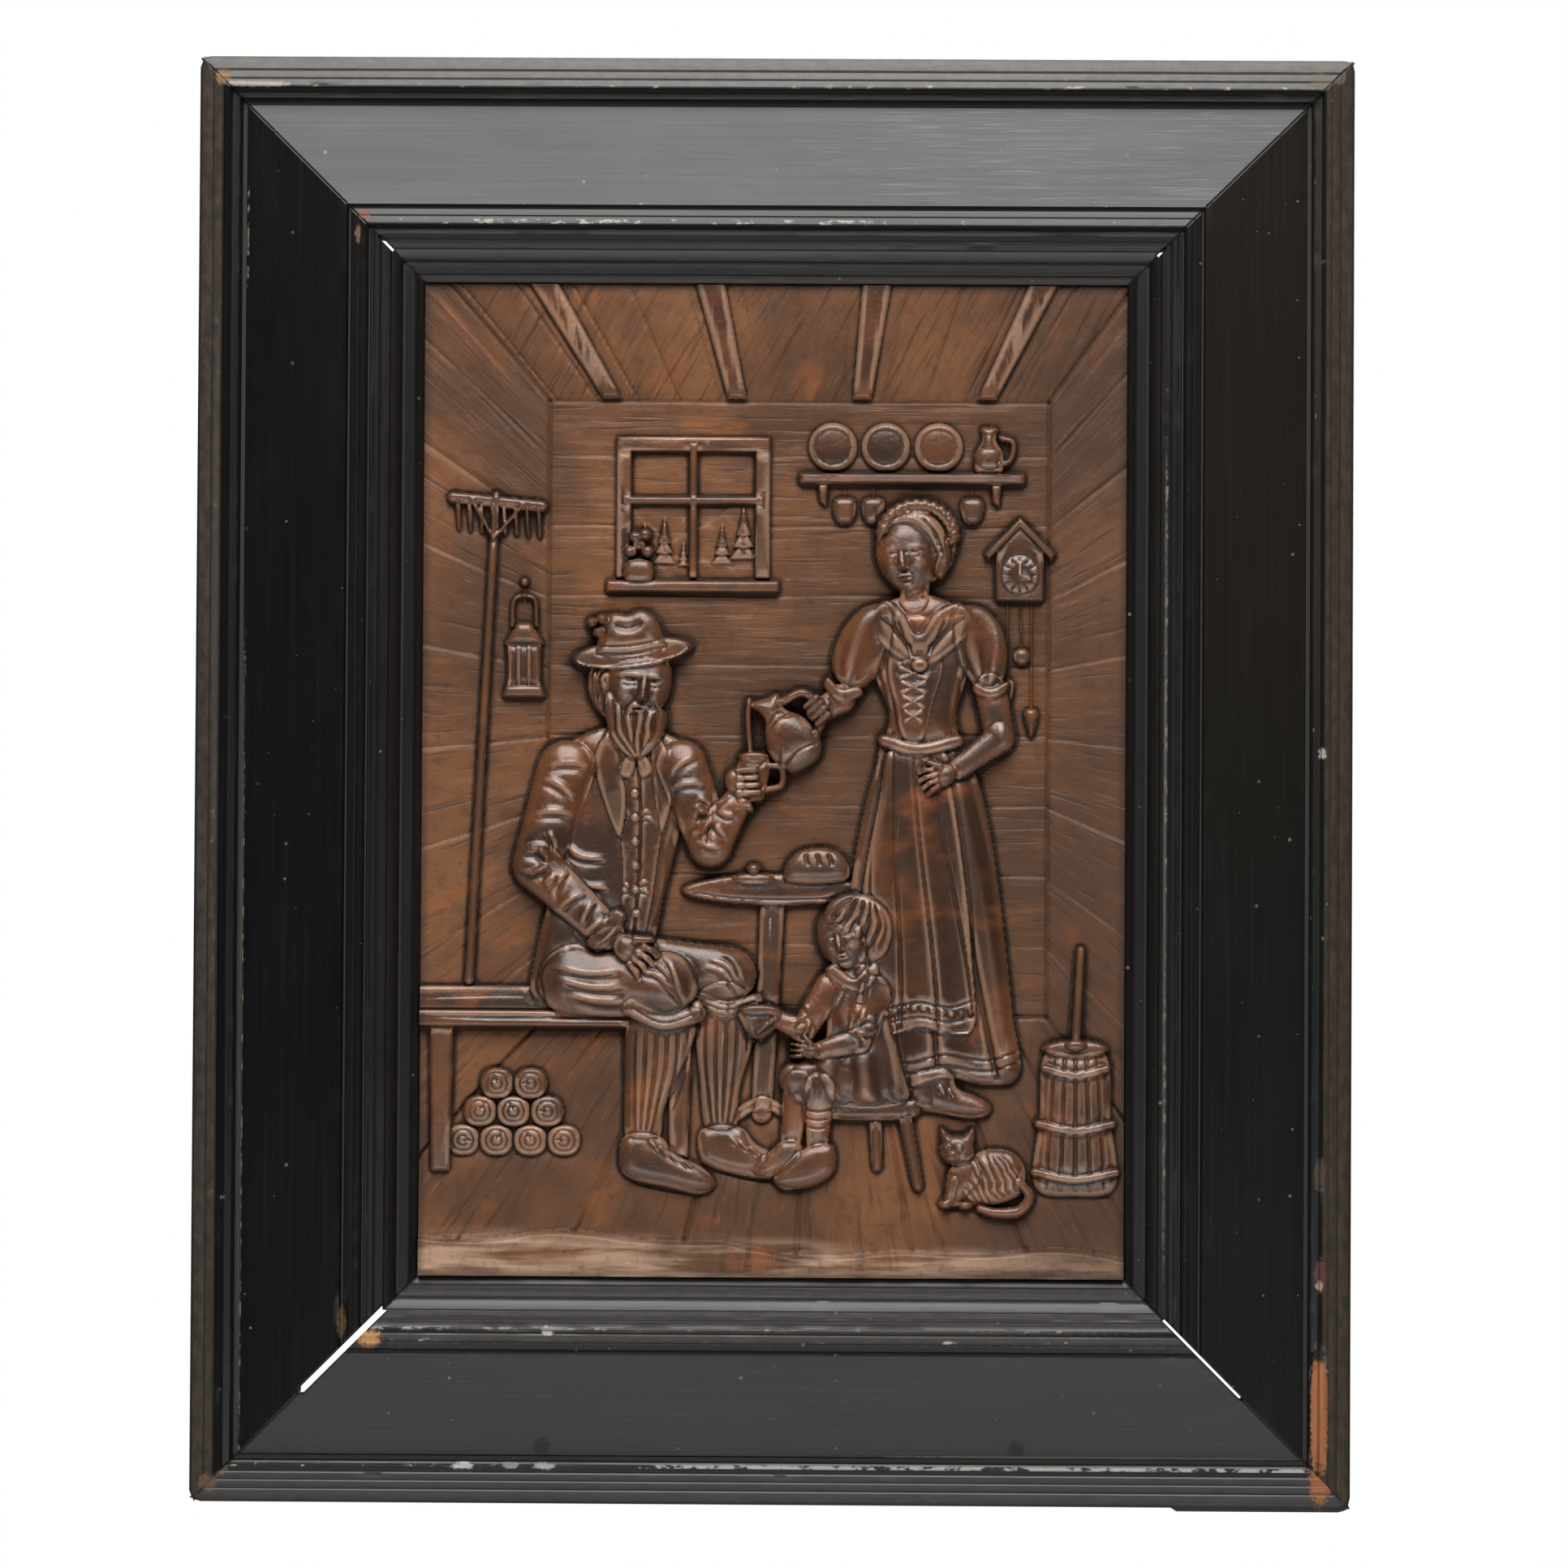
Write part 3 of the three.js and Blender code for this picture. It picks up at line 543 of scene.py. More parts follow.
def seatedMan(c):
    # far leg
    c.limb(-56, -78, 13, 3.0, -18, -81, 11.5, 5.6, 0.5)
    for k in range(3):
        fold(c, [(-12 + k, -90 + 2 * k), (-20 + 2 * k, -80 + 2.5 * k), (-31 + 4 * k, -77 + 2.5 * k)], 1.4,
             0.9, 6)
    c.shape([(-30, -88), (-32, -104), (-30, -124), (-27, -146), (-15, -147), (-13, -128), (-8, -110),
             (-7, -93), (-17, -84)], 3.6, 4.4, 9)
    for k in range(5):
        c.stroke([(-27.5 + k * 4.4, -97), (-27.5 + k * 4.2, -118), (-24.5 + k * 2.1, -144)], 0.7, -0.5, 4,
                 fade=0.1)
    cuff = [(-32, -91), (-19, -95.5), (-7, -92)]
    c.path(cuff, 3.4, 5.6, 3.2, cut=0.8)
    c.stroke(cuff, 0.6, -0.7, 5, fade=0)
    c.shape([(-29, -145), (-30, -156), (-25, -161), (-8, -165), (4, -166), (9, -162), (4, -156),
             (-6, -151), (-13, -144)], 4.2, 3.8, 6)
    c.stroke([(-30, -157), (-22, -162), (-6, -166), (8, -164)], 0.6, -0.8, 3, fade=0.1)
    for k in range(3):
        fold(c, [(-18 + k * 4.2, -147 - k * 2.2), (-13 + k * 4.4, -152 - k * 2.0)], 0.8, 0.8, 5)
    # near leg
    c.shape([(-58, -92), (-61, -110), (-61, -128), (-60, -150), (-47, -151), (-44, -136), (-36, -118),
             (-31, -100), (-40, -88)], 5.4, 4.8, 10)
    for k in range(6):
        c.stroke([(-56.5 + k * 4.4, -103), (-57 + k * 4.3, -121), (-56.5 + k * 2.2, -148)], 0.75, -0.55, 6,
                 fade=0.1)
    c.shape([(-61, -148), (-63, -160), (-58, -166), (-44, -169), (-30, -172), (-23, -168), (-28, -161),
             (-40, -155), (-46, -148)], 5.8, 4.2, 6.5)
    c.stroke([(-63, -161), (-56, -167), (-42, -170.5), (-26, -171)], 0.65, -0.9, 4, fade=0.1)
    for k in range(4):
        fold(c, [(-51 + k * 4.2, -149 - k * 2.4), (-45.5 + k * 4.6, -155 - k * 2.2)], 0.85, 0.9, 6)
    # coat
    c.shape([(-68, 22), (-82, 17), (-92, 6), (-94, -16), (-92, -42), (-97, -66), (-100, -90), (-84, -96),
             (-58, -90), (-50, -72), (-45, -48), (-39, -24), (-33, 0), (-34, 12), (-44, 19), (-54, 22)],
            4.2, 4.8, 13, texture=lambda x, z: 0.6 * noise(x, z, 7, 11, 51))
    c.shape([(-64, 20), (-50, 19), (-43, -2), (-47, -28), (-51, -56), (-56, -74), (-64, -72), (-62, -40),
             (-65, -14), (-69, 6)], 7.4, 1.0, 2.0, cut=0.9)
    drag(c, -57, -16, (160, 20, 185, -12), 2, 9, 0.9, 0.7, 8)
    drag(c, -57.5, -46, (155, 30, 190, -16), 2, 8, 0.9, 0.7, 8)
    c.stroke([(-57, 16), (-55, -10), (-55.5, -40), (-58, -72)], 0.6, -0.8, 7, fade=0.05)
    for z in (-6, -16, -26, -36, -46, -56):
        c.ball(-57.6 - (z + 6) * 0.02, z, 1.7, 1.7, 8.6, 1.2, cut=0.8)
    c.shape([(-67, 21), (-74, 10), (-72, -4), (-64, -24), (-61, -10), (-63, 6)], 9.0, 1.0, 2.2, cut=0.9)
    c.shape([(-50, 20), (-43, 10), (-41, -3), (-46, -22), (-49, -8), (-51, 6)], 8.6, 1.0, 2.2, cut=0.9)
    c.shape([(-68, 21), (-57, 15), (-47, 21), (-48, 26), (-57, 22), (-67, 27)], 8.8, 1.8, 3, cut=0.8)
    c.ball(-57, 15.5, 3.6, 3.0, 9.6, 1.8, 10)
    c.shape([(-59, 13), (-64, 3), (-59, 1), (-56, 12)], 9.2, 1.0, 2)
    c.shape([(-55, 13), (-50, 4), (-55, 1), (-57, 12)], 9.2, 1.0, 2)
    for k in range(4):
        fold(c, [(-89 + 2 * k, -24 - 12 * k), (-80 + 2 * k, -32 - 12 * k), (-67 + k, -33 - 12 * k)], 1.7,
             1.3, 6)
    fold(c, [(-44, -30), (-46, -50), (-53, -66)], 1.4, 1.0, 6)
    # near thigh
    c.limb(-82, -84, 15, 5.4, -44, -85, 13.6, 8.6, 0.46)
    for k in range(3):
        fold(c, [(-92 + 3 * k, -77 - 6 * k), (-76 + 3 * k, -80.5 - 6 * k), (-60 + 2 * k, -79 - 6.5 * k)],
             1.9, 1.1, 8)
        fold(c, [(-37 + k, -92 - 1.5 * k), (-46 + 2 * k, -82 + 2.5 * k), (-57 + 5 * k, -79 + 3 * k)], 1.4,
             0.9, 9)
    cuff = [(-58, -95), (-45, -101), (-31, -97)]
    c.path(cuff, 3.8, 8.4, 3.6, cut=0.9)
    c.stroke(cuff, 0.6, -0.8, 8, fade=0)
    c.ball(-31, -95, 2.6, 3.4, 9.0, 2.0)
    # far arm and mug
    c.limb(-38, 6, 10.5, 5.2, -26, -27, 9.4, 7.0, 0.5)
    c.limb(-26, -27, 9.0, 7.0, -15, -9, 6.2, 8.4, 0.5)
    drag(c, -23, -13, (150, 172, 196, 222, 250), 3, 17, 1.4, 1.2, 8)
    cross(c, -26, -27, 9.0, -15, -9, 6.2, (0.05, 0.42, 0.75), 1.2, 0.9, 8)
    cross(c, -38, 6, 10.5, -26, -27, 9.4, (0.05, 0.3), 1.5, 1.0, 8)
    c.shape([(-22.5, -13), (-16, -6.5), (-9.5, -9), (-8.5, -13.5), (-14, -12.5), (-19, -17)], 10.4, 1.2,
            2.4, cut=0.7)
    c.shape([(-15, -8), (-14, 9), (-2, 10), (-3.5, -7), (-9, -9)], 7.2, 3.6, 6)
    c.ball(-8, 9.5, 6.4, 2.3, 9.4, 1.2)
    c.ball(-8, 9.7, 5.0, 1.4, 9.6, -1.2, cut=0)
    for k in (-4.5, 5):
        c.stroke([(-14.5, k), (-9, k - 1.4), (-3, k)], 0.6, 0.7, 8, fade=0.05)
    c.path([(-2.5, 6), (3.2, 5), (3.4, -2), (-3, -4)], 1.5, 7.4, 1.5, cut=0.8)
    for k in range(4):
        c.limb(-14.5, -5.6 + k * 3.1, 1.7, 11.2, -6.0 - 0.5 * k, -5.2 + k * 3.1, 1.45, 10.9, 0.9, cut=0.6)
    c.ball(-16, -1, 4.2, 5.6, 9.6, 2.4, 10, cut=0.6)
    # near arm, hand on the knee
    c.limb(-86, 4, 12.2, 5.6, -98, -36, 10.2, 7.6, 0.5)
    c.limb(-98, -36, 10.2, 7.6, -68, -64, 7.0, 10.6, 0.5)
    drag(c, -89, -35, (110, 135, 162, 190, 216, 240), 4, 19, 1.6, 1.4, 9)
    cross(c, -86, 4, 12.2, -98, -36, 10.2, (0.0, 0.24, 0.5), 1.8, 1.2, 8)
    cross(c, -98, -36, 10.2, -68, -64, 7.0, (0.34, 0.54, 0.74, 0.9), 1.4, 1.1, 9)
    c.shape([(-77, -68), (-71, -71), (-64, -64), (-60.5, -57), (-65.5, -54), (-71, -61)], 12.4, 1.4, 2.8,
            cut=0.8)
    c.stroke([(-74.5, -70.5), (-66.5, -64), (-61.8, -56.5)], 0.5, 0.6, 11, fade=0)
    carveHand(c, -60, -70, -38, 12.5, 12.0, spread=7, thumb=1, bend=-18)
    # head, beard, hat
    c.ball(-59, 26, 9, 9, 5.5, 3)
    c.ball(-64, 40, 13.5, 16, 5.4, 4.4)
    carveHead(c, -57, 40, 19, 0.5, -5, 6.2, 5.8)
    c.shape([(-69, 36), (-70, 26), (-66, 15), (-59, 9), (-52, 10.5), (-46, 18), (-44, 26), (-46.5, 29.5),
             (-50, 29.5), (-55, 29.8), (-60, 28), (-64.5, 32)], 9.2, 2.2, 4.5, cut=0.5)
    strands(c, [(-68, 34), (-66, 20), (-58, 9)], [(-45, 27), (-48, 17), (-55, 10)], 0.65, 0.9, 8.5,
            wave=0.6, count=10)
    for k in range(3):
        c.stroke([(-53 - k * 0.8, 32.2 - k * 0.5), (-57.5, 31.8 - k * 1.1), (-61, 28.6 - k)], 0.8, 0.9, 8,
                 fade=0.3)
        c.stroke([(-50 + k * 0.5, 32.2 - k * 0.5), (-47.5, 31.0 - k * 1.1), (-45.5, 28 - k)], 0.8, 0.8, 8,
                 fade=0.3)
    strands(c, [(-66, 50), (-71.5, 42), (-71, 30)], [(-75, 50), (-77.5, 42), (-75, 32)], 0.65, 0.9, 6,
            wave=0.5, count=6)
    carveHat(c, -59, 53, 25, 7, 8.8)
    for px, pz in ((-73, 61), (-75.5, 65), (-71.5, 66.5)):      # a sprig of flowers in the band
        c.ball(px, pz, 2.4, 2.2, 11.0, 1.4, cut=0.7)
        c.ball(px, pz, 0.8, 0.8, 12.0, 0.8, cut=0.6)


def standingWoman(c):
    c.shape([(58, -118), (57, -131), (60, -136), (70, -138), (82, -140), (90, -138.5), (91, -134.5),
             (85, -130.5),
             (77, -127), (74, -118)], 4.8, 3.8, 6)      # the shoe below the hem
    c.stroke([(57.5, -133), (62, -136), (74, -137.6), (84, -139), (90.5, -136.5)], 0.6, -0.8, 4, fade=0.1)
    for k in range(2):
        fold(c, [(69 + 4.2 * k, -125.5 - 1.6 * k), (71.5 + 4.2 * k, -130 - 1.6 * k)], 0.8, 0.8, 5)

    def pleats(x, z):      # skirt folds that widen to the hem
        t = np.clip((8 - z) / 132, 0, 1)
        a = (x - (62 - 2 * t)) / (15 + 26 * t)
        swing = np.sin(a * 8.4 + 0.9 * np.sin(t * 3 + a * 2))
        return (0.9 + 2.6 * t) * (0.55 * swing - 0.6 * bell(np.sin(a * 5.3 - 1.2 * t), 0.22))

    c.shape([(48, 18), (76, 18), (84, 4), (91, -24), (96, -60), (100, -96), (103, -122), (88, -126),
             (72, -123), (56, -127), (40, -124), (24, -126), (20, -122), (25, -90), (31, -52), (36, -20),
             (42, 4)],
            4.2, 4.4, 16, texture=pleats)
    for z in (-112, -116.5):
        c.stroke([(21, z), (38, z - 2.5), (56, z - 5), (72, z - 1.5), (88, z - 4), (102, z)], 0.7, -0.8, 4,
                 fade=0)

    def apronFolds(x, z):
        t = np.clip((12 - z) / 115, 0, 1)
        a = (x - 58 - 5 * t * np.sin(t * 2.5)) / (11 + 12 * t)
        return (0.6 + 1.5 * t) * (0.6 * np.sin(a * 5.0 + 0.6) - 0.5 * bell(np.sin(a * 4.6 - 1.6 * t), 0.2))

    c.shape([(49, 14), (70, 14), (75, -6), (80, -40), (83, -76), (84, -102), (74, -105), (60, -103),
             (46, -106), (33, -103), (34, -76), (38, -40), (44, -8)], 8.4, 1.5, 3, texture=apronFolds)
    for z in (-92, -98):
        c.stroke([(33, z), (46, z - 2.6), (60, z), (74, z - 2), (84, z + 1)], 0.6, -0.8, 8, fade=0)
    for k in range(13):
        c.ball(35.5 + k * 3.9, -95.4 - 1.4 * math.sin(k * 0.75), 1.2, 1.1, 9.4, 0.9, cut=0.5)
    # bodice, laces, neckerchief
    c.shape([(46, 74), (40, 66), (38, 54), (43, 40), (48, 28), (47, 15), (60, 12), (76, 15), (76, 28),
             (80, 42), (84, 56), (82, 67), (74, 74), (60, 78)], 5.0, 4.6, 12)
    for px, lean in ((44, 3), (79, -3)):
        fold(c, [(px, 52), (px + lean, 38), (px + lean * 1.6, 24)], 1.3, 0.9, 6)
    c.shape([(52, 66), (66, 66), (70, 48), (66, 32), (62, 17), (54, 17), (50, 32), (47, 48)], 8.8, 1.1, 2.6,
            cut=0.9)
    for k in range(5):
        z, w = 24 + 6 * k, 4.2 + 0.8 * k
        for flip in (-1, 1):
            c.stroke([(58 - w * flip, z), (58 + w * flip, z + 5.4)], 0.6, 0.9, 9, fade=0.1)
    c.path([(46, 16.5), (60, 12.8), (76.5, 16.5)], 2.7, 9.0, 1.5, cut=0.8)
    c.shape([(46, 75), (53, 70), (60, 61), (67, 70), (77, 74), (83, 66), (76, 56), (64, 47), (57, 47),
             (45, 56), (38, 66)], 9.4, 1.5, 3, cut=0.9)
    for k in range(4):
        c.stroke([(43.5 + 2.4 * k, 69 - 0.4 * k), (51 + 1.4 * k, 61 - 1.2 * k), (58, 51 + 1.6 * k)], 0.8,
                 -0.9, 9, fade=0.15)
        c.stroke([(79.5 - 2.6 * k, 69 - 0.4 * k), (71 - 1.6 * k, 61 - 1.2 * k), (63, 51 + 1.6 * k)], 0.8,
                 -0.9, 9, fade=0.15)
    c.ball(60.5, 48, 3.4, 3.0, 10.4, 1.6)

    def gathered(cx, cz):      # puffed sleeve, drawn in at its band
        def texture(x, z):
            return (0.8 * np.sin(np.arctan2(z - cz, x - cx) * 11)
                    * np.clip(np.hypot(x - cx, z - cz) / 16, 0, 1))

        return texture

    c.shape([(76, 72), (87, 72), (95, 63), (97, 50), (94, 40), (86, 37), (79, 46), (75, 60)],
            6.2, 4.2, 9, texture=gathered(88, 34))
    c.limb(90, 38, 6.6, 6.4, 94, 18, 6.4, 7.4, 0.5)
    c.shape([(83.5, 41), (90, 38.5), (97, 41.5), (96.5, 37), (90, 34), (83, 36.5)], 9.2, 1.2, 2.2, cut=0.8)
    c.limb(94, 18, 6.2, 7.4, 77, 5, 4.4, 10.2, 0.5)
    carveHand(c, 71, 2.5, 200, 10, 10.8, spread=8, thumb=-1, bend=12)
    c.limb(28, 34, 6.4, 7.8, 18, 28, 4.4, 9.8, 0.5)
    c.shape([(48, 72), (37, 72), (28, 62), (24, 50), (26, 42), (34, 37), (43, 44), (48, 56)],
            6.8, 4.4, 9, texture=gathered(27, 32))
    c.shape([(22.5, 43), (28, 38), (35, 39), (37, 35.5), (29, 32.5), (21, 38)], 9.6, 1.2, 2.2, cut=0.8)
    # jug, held by its handle
    jug = {"x": 14, "z": 7, "way": 124}
    spot = lambda u, v: turned(jug["x"], jug["z"], jug["way"], u, v)
    c.path([spot(27, -5), spot(25, -15), spot(14, -17), spot(8, -10)], 1.9, 8.6, 1.6, cut=0.9)
    c.shape([spot(u, v) for u, v in ((0, -7), (-1.5, 0), (0, 7), (6, 10.5), (13, 11), (19, 8.5),
                                     (24, 5.2), (29, 5.2), (33.5, 7.5), (34, 5), (32, -1), (31, -6),
                                     (24, -5.2), (19, -8.5), (13, -11), (6, -10.5))], 7.0, 4.6, 9)
    for u, w in ((4.5, 9), (20, 7.5), (22.5, 6)):
        c.stroke([spot(u, -w), spot(u + 1.6, 0), spot(u, w)], 0.6, -0.8, 8, fade=0.1)
    c.ball(*spot(16, -16), 5.2, 4.4, 10.0, 2.4, 30)
    for k in range(4):
        c.limb(*spot(20.5 - k * 2.9, -18.5), 1.5, 11.6, *spot(20 - k * 2.9, -12.5), 1.3, 11.6, 0.9, cut=0.6)
    c.path([(-10.2, 33), (-10.6, 25), (-9.6, 12)], 1.2, 8.6, 1.0, cut=0.6)
    # neck, head, hair
    c.limb(58, 76, 6, 6.0, 59, 88, 6.4, 6.4, 0.4)
    c.ball(61, 98, 14.5, 16, 5.2, 4.8, 10)
    carveHead(c, 55.5, 94, 16.5, -0.5, 6, 6.4, 5.4, soft=1.0)
    c.shape([(42.5, 98), (44, 106), (50, 111), (58, 113), (66, 110), (71.5, 102), (73, 92), (70, 84),
             (66.5, 86), (67, 95), (62, 102), (54, 106.5), (48, 104)], 9.0, 2.4, 4, cut=0.5)
    strands(c, [(53, 112), (49, 108), (45, 101)], [(50, 106), (47.5, 104), (44, 99)], 0.6, 0.8, 8, count=3)
    for k in range(7):
        c.stroke([(54 + k * 1.4, 112 - k * 0.5), (62 + k * 1.1, 107.5 - k), (68.4 + k * 0.5, 98 - k * 1.6)],
                 0.65, -0.9 if k % 2 else 0.6, 8, fade=0.1)
    for k in range(14):      # a plait round the head
        a = math.radians(170 - k * 13.6)
        c.ball(59.5 + 14.8 * math.cos(a), 102 + 12.5 * math.sin(a), 3.7, 2.3, 9.0 - 0.12 * k, 2.2,
               math.degrees(a) + 48, cut=0.7)


def sittingChild(c):
    for px, foot, pz, height in ((43, 44, -160, 4.2), (55, 61, -168, 6.0)):      # stool
        c.limb(px, -137, 2.9, height, foot, pz, 2.3, height + 0.8, 0.8)
    c.ball(39.5, -136, 22.5, 5.0, 6.6, 2.4, square=3.0)
    c.stroke([(18, -137.5), (28, -140), (40, -140.6), (52, -140), (61, -137.5)], 0.5, -0.7, 5, fade=0.05)
    c.limb(32, -124, 9, 5.4, 10, -124, 7, 7.4, 0.5)
    c.limb(11, -126, 6.2, 6.6, 8, -152, 4.2, 6.0, 0.5)
    c.shape([(12, -150), (4, -150), (-4, -158), (-7, -162), (-3, -165), (8, -163), (13, -158)], 6.0, 3.2, 5)

    def smockFolds(x, z):
        return 1.1 * np.sin(x * 0.42 + z * 0.12 + 0.6 * np.sin(z * 0.13)) * smooth(-84, -108, z)

    c.shape([(27, -77), (40, -77), (48, -85), (51, -100), (55, -120), (57, -132), (44, -136), (26, -135),
             (12, -133), (6, -124), (14, -115), (22, -108), (22, -94),
             (21, -84)], 6.2, 4.2, 10, texture=smockFolds)
    c.limb(20, -128, 6.4, 7.4, 19, -154, 4.4, 6.6, 0.5)
    for z in (-136, -139.5, -143):
        c.stroke([(13.5, z), (19.5, z - 1.6), (26, z)], 0.7, -0.7, 6, fade=0.05)
    c.shape([(25, -151), (15, -152), (5, -160), (1, -166), (6, -170), (18, -168), (26, -163), (27, -157)],
            6.6, 3.6, 5.5)
    c.stroke([(2, -167.5), (12, -170), (25, -165)], 0.6, -0.8, 5, fade=0.1)
    # arms and bowl
    c.limb(24, -86, 6.4, 7.6, 13, -104, 5.4, 9.2, 0.5)
    c.limb(13, -104, 5.2, 9.2, 2, -99, 3.6, 10.6, 0.5)
    drag(c, 17, -98, (140, 170, 205, 240), 2, 10, 1.1, 0.9, 9)
    c.shape([(-13, -96), (3, -95), (2, -102), (-3, -107), (-8, -107), (-12, -102)], 9.0, 2.8, 5)
    c.ball(-5, -95.6, 8.4, 2.4, 11.2, 0.8)
    c.ball(-5, -95.4, 6.8, 1.5, 11.6, -1.3, cut=0)
    for k in range(3):
        c.limb(1.5 - k * 2.0, -99 - k * 1.4, 1.4, 12.2, -2.5 - k * 1.6, -101.5 - k * 1.5, 1.2, 11.8, 0.9,
               cut=0.5)
    c.limb(43, -88, 6.8, 7.6, 36, -108, 5.4, 9.2, 0.5)
    c.limb(36, -108, 5.2, 9.2, 20, -112, 3.8, 10.4, 0.5)
    drag(c, 33, -103, (-10, 25, 60, -50), 2, 11, 1.2, 1.0, 9)
    carveHand(c, 16, -112, 170, 7.6, 11.0, spread=8, thumb=-1)
    c.shape([(26, -76), (34, -82), (42, -76), (44, -80), (36, -88), (26, -84), (22, -79)], 9.4, 1.4, 2.4)
    c.ball(36, -62, 13.4, 13.6, 6.6, 4.4)
    carveHead(c, 30, -65, 14, -0.62, 10, 7.6, 4.8, brow=0.6, soft=1.0)
    c.shape([(21, -57), (24, -50.5), (32, -47), (41, -48.5), (48, -55), (49.5, -65), (46, -73),
             (40.5, -74.5), (39, -67), (36.5, -60), (30, -57.5), (24, -59)], 9.8, 2.4, 5, cut=0.6)
    strands(c, [(33, -48), (28, -51), (23, -57)], [(44, -51), (47, -62), (43, -73)], 0.7, 1.0, 9, wave=0.5,
            count=10)


def sittingCat(c, x, z, k):      # drawn about its own middle and scaled by k
    spots = lambda *pairs: [(x + u * k, z + v * k) for u, v in pairs]
    one = lambda u, v: (x + u * k, z + v * k)
    fur = lambda a, b: 0.3 * np.sin(a * 2.0 + b * 1.1 + noise(a, b, 5, 5, 91) * 3)
    c.shape(spots((16, -6), (18, 6), (12, 14), (2, 16), (-8, 13), (-16, 8), (-18, -2), (-14, -10),
                  (0, -12)), 5.6, 4.8,
            9 * k, texture=fur)
    c.shape(spots((-8, 12), (-16, 10), (-20, 2), (-20, -10), (-15, -12), (-10, -6), (-4, 2)), 7.4, 3.4, 5)
    c.limb(*one(-17, 0), 2.6 * k, 8.8, *one(-19, -10), 2.4 * k, 8.4, 0.9)
    c.ball(*one(-20.5, -11), 3.4 * k, 2.0 * k, 8.6, 1.8)
    c.ball(*one(-11, -11.5), 3.6 * k, 2.0 * k, 8.2, 1.8)
    c.path(spots((15, 0), (20, -7), (15, -14), (4, -15), (-4, -13)), 2.8 * k, 8.0, 2.2, ends=0.7)
    c.shape(spots((-21, 17), (-23, 26), (-18, 22.5), (-12, 22.5), (-7, 26), (-8, 17)), 8.2, 2.4, 3)
    c.ball(*one(-15, 15), 8.4 * k, 7.2 * k, 8.4, 4.2)
    c.ball(*one(-17.5, 12), 3.4 * k, 2.6 * k, 11.0, 1.8, cut=0.3)
    c.ball(*one(-18.4, 13), 1.1 * k, 0.9 * k, 12.6, 0.7, cut=0.4)
    for u in (-20.2, -13.8):
        c.ball(*one(u, 16.4), 1.6 * k, 1.3 * k, 11.4, 0.9, cut=0.7)
    for i in (-1, 0, 1):
        c.stroke(spots((-14, 12 + i), (-8, 13 + 1.8 * i)), 0.4, 0.4, 8, fade=0.2)


def benchAndLogs(c):
    for k, (count, x, z) in enumerate(((4, -128, -150), (3, -121, -138), (2, -114, -126.5))):
        for i in range(count):
            px = x + i * 14
            c.ball(px, z, 6.9, 6.4, 4.6 + 0.4 * k, 1.4, square=2.4)
            for r in (0.34, 0.7):
                c.stroke(ring(px, z, 6.6 * r, 6.1 * r), 0.45, -0.4, 4, fade=0)
            c.stroke([(px, z), (px + 4 * math.cos(i + k), z + 4 * math.sin(i + k))], 0.5, -0.6, 4)
    for x, foot in ((-137, -163), (-38, -157)):
        c.shape([(x - 5, -98), (x + 5, -98), (x + 3.5, foot), (x - 4.5, foot)], 5.0, 1.8, 2, smoothly=False)
    c.shape([(-150, -86), (-44, -86), (-34, -96), (-150, -96)], 4.6, 1.0, 1.5, smoothly=False,
            slope=(0, -0.15))
    c.slab(-150, -34, -96, -103, 7.0, 0.8, 1.5)
    for k in range(4):
        c.stroke([(-146 + 22 * k, -98.5 - 0.8 * (k % 2)), (-118 + 22 * k, -99.5), (-96 + 20 * k, -98.8)],
                 0.5, -0.5, 6)
    c.stroke([(-146, -91), (-110, -90), (-98, -91)], 0.5, -0.4, 4)


def table(c):
    c.limb(0, -50, 5.2, 1.6, -4, -138, 4.4, 3.6, 0.5)
    c.path([(-22, -145), (-4, -134), (14, -144)], 2.6, 3.4, 1.8)
    c.shape([(-36, -44), (-20, -40), (2, -39), (24, -40), (38, -44), (38, -48), (24, -51), (2, -52),
             (-20, -51), (-36, -48)], 3.2, 1.6, 2.4)
    c.stroke([(-35, -46.5), (-18, -49), (2, -49.6), (24, -49), (37, -46.5)], 0.5, -0.7, 3, fade=0.05)
    c.shape([(6, -42), (6, -34), (12, -29), (22, -28), (30, -32), (32, -40), (24, -43)], 4.4, 3.6, 6)
    for k in range(3):
        c.stroke([(13 + k * 5, -30), (15 + k * 5, -36)], 0.9, -0.9, 5)
    c.ball(-8, -41, 8.5, 2.6, 4.6, 1.4)
    c.ball(-8, -37, 3, 2.4, 4.6, 2.4)


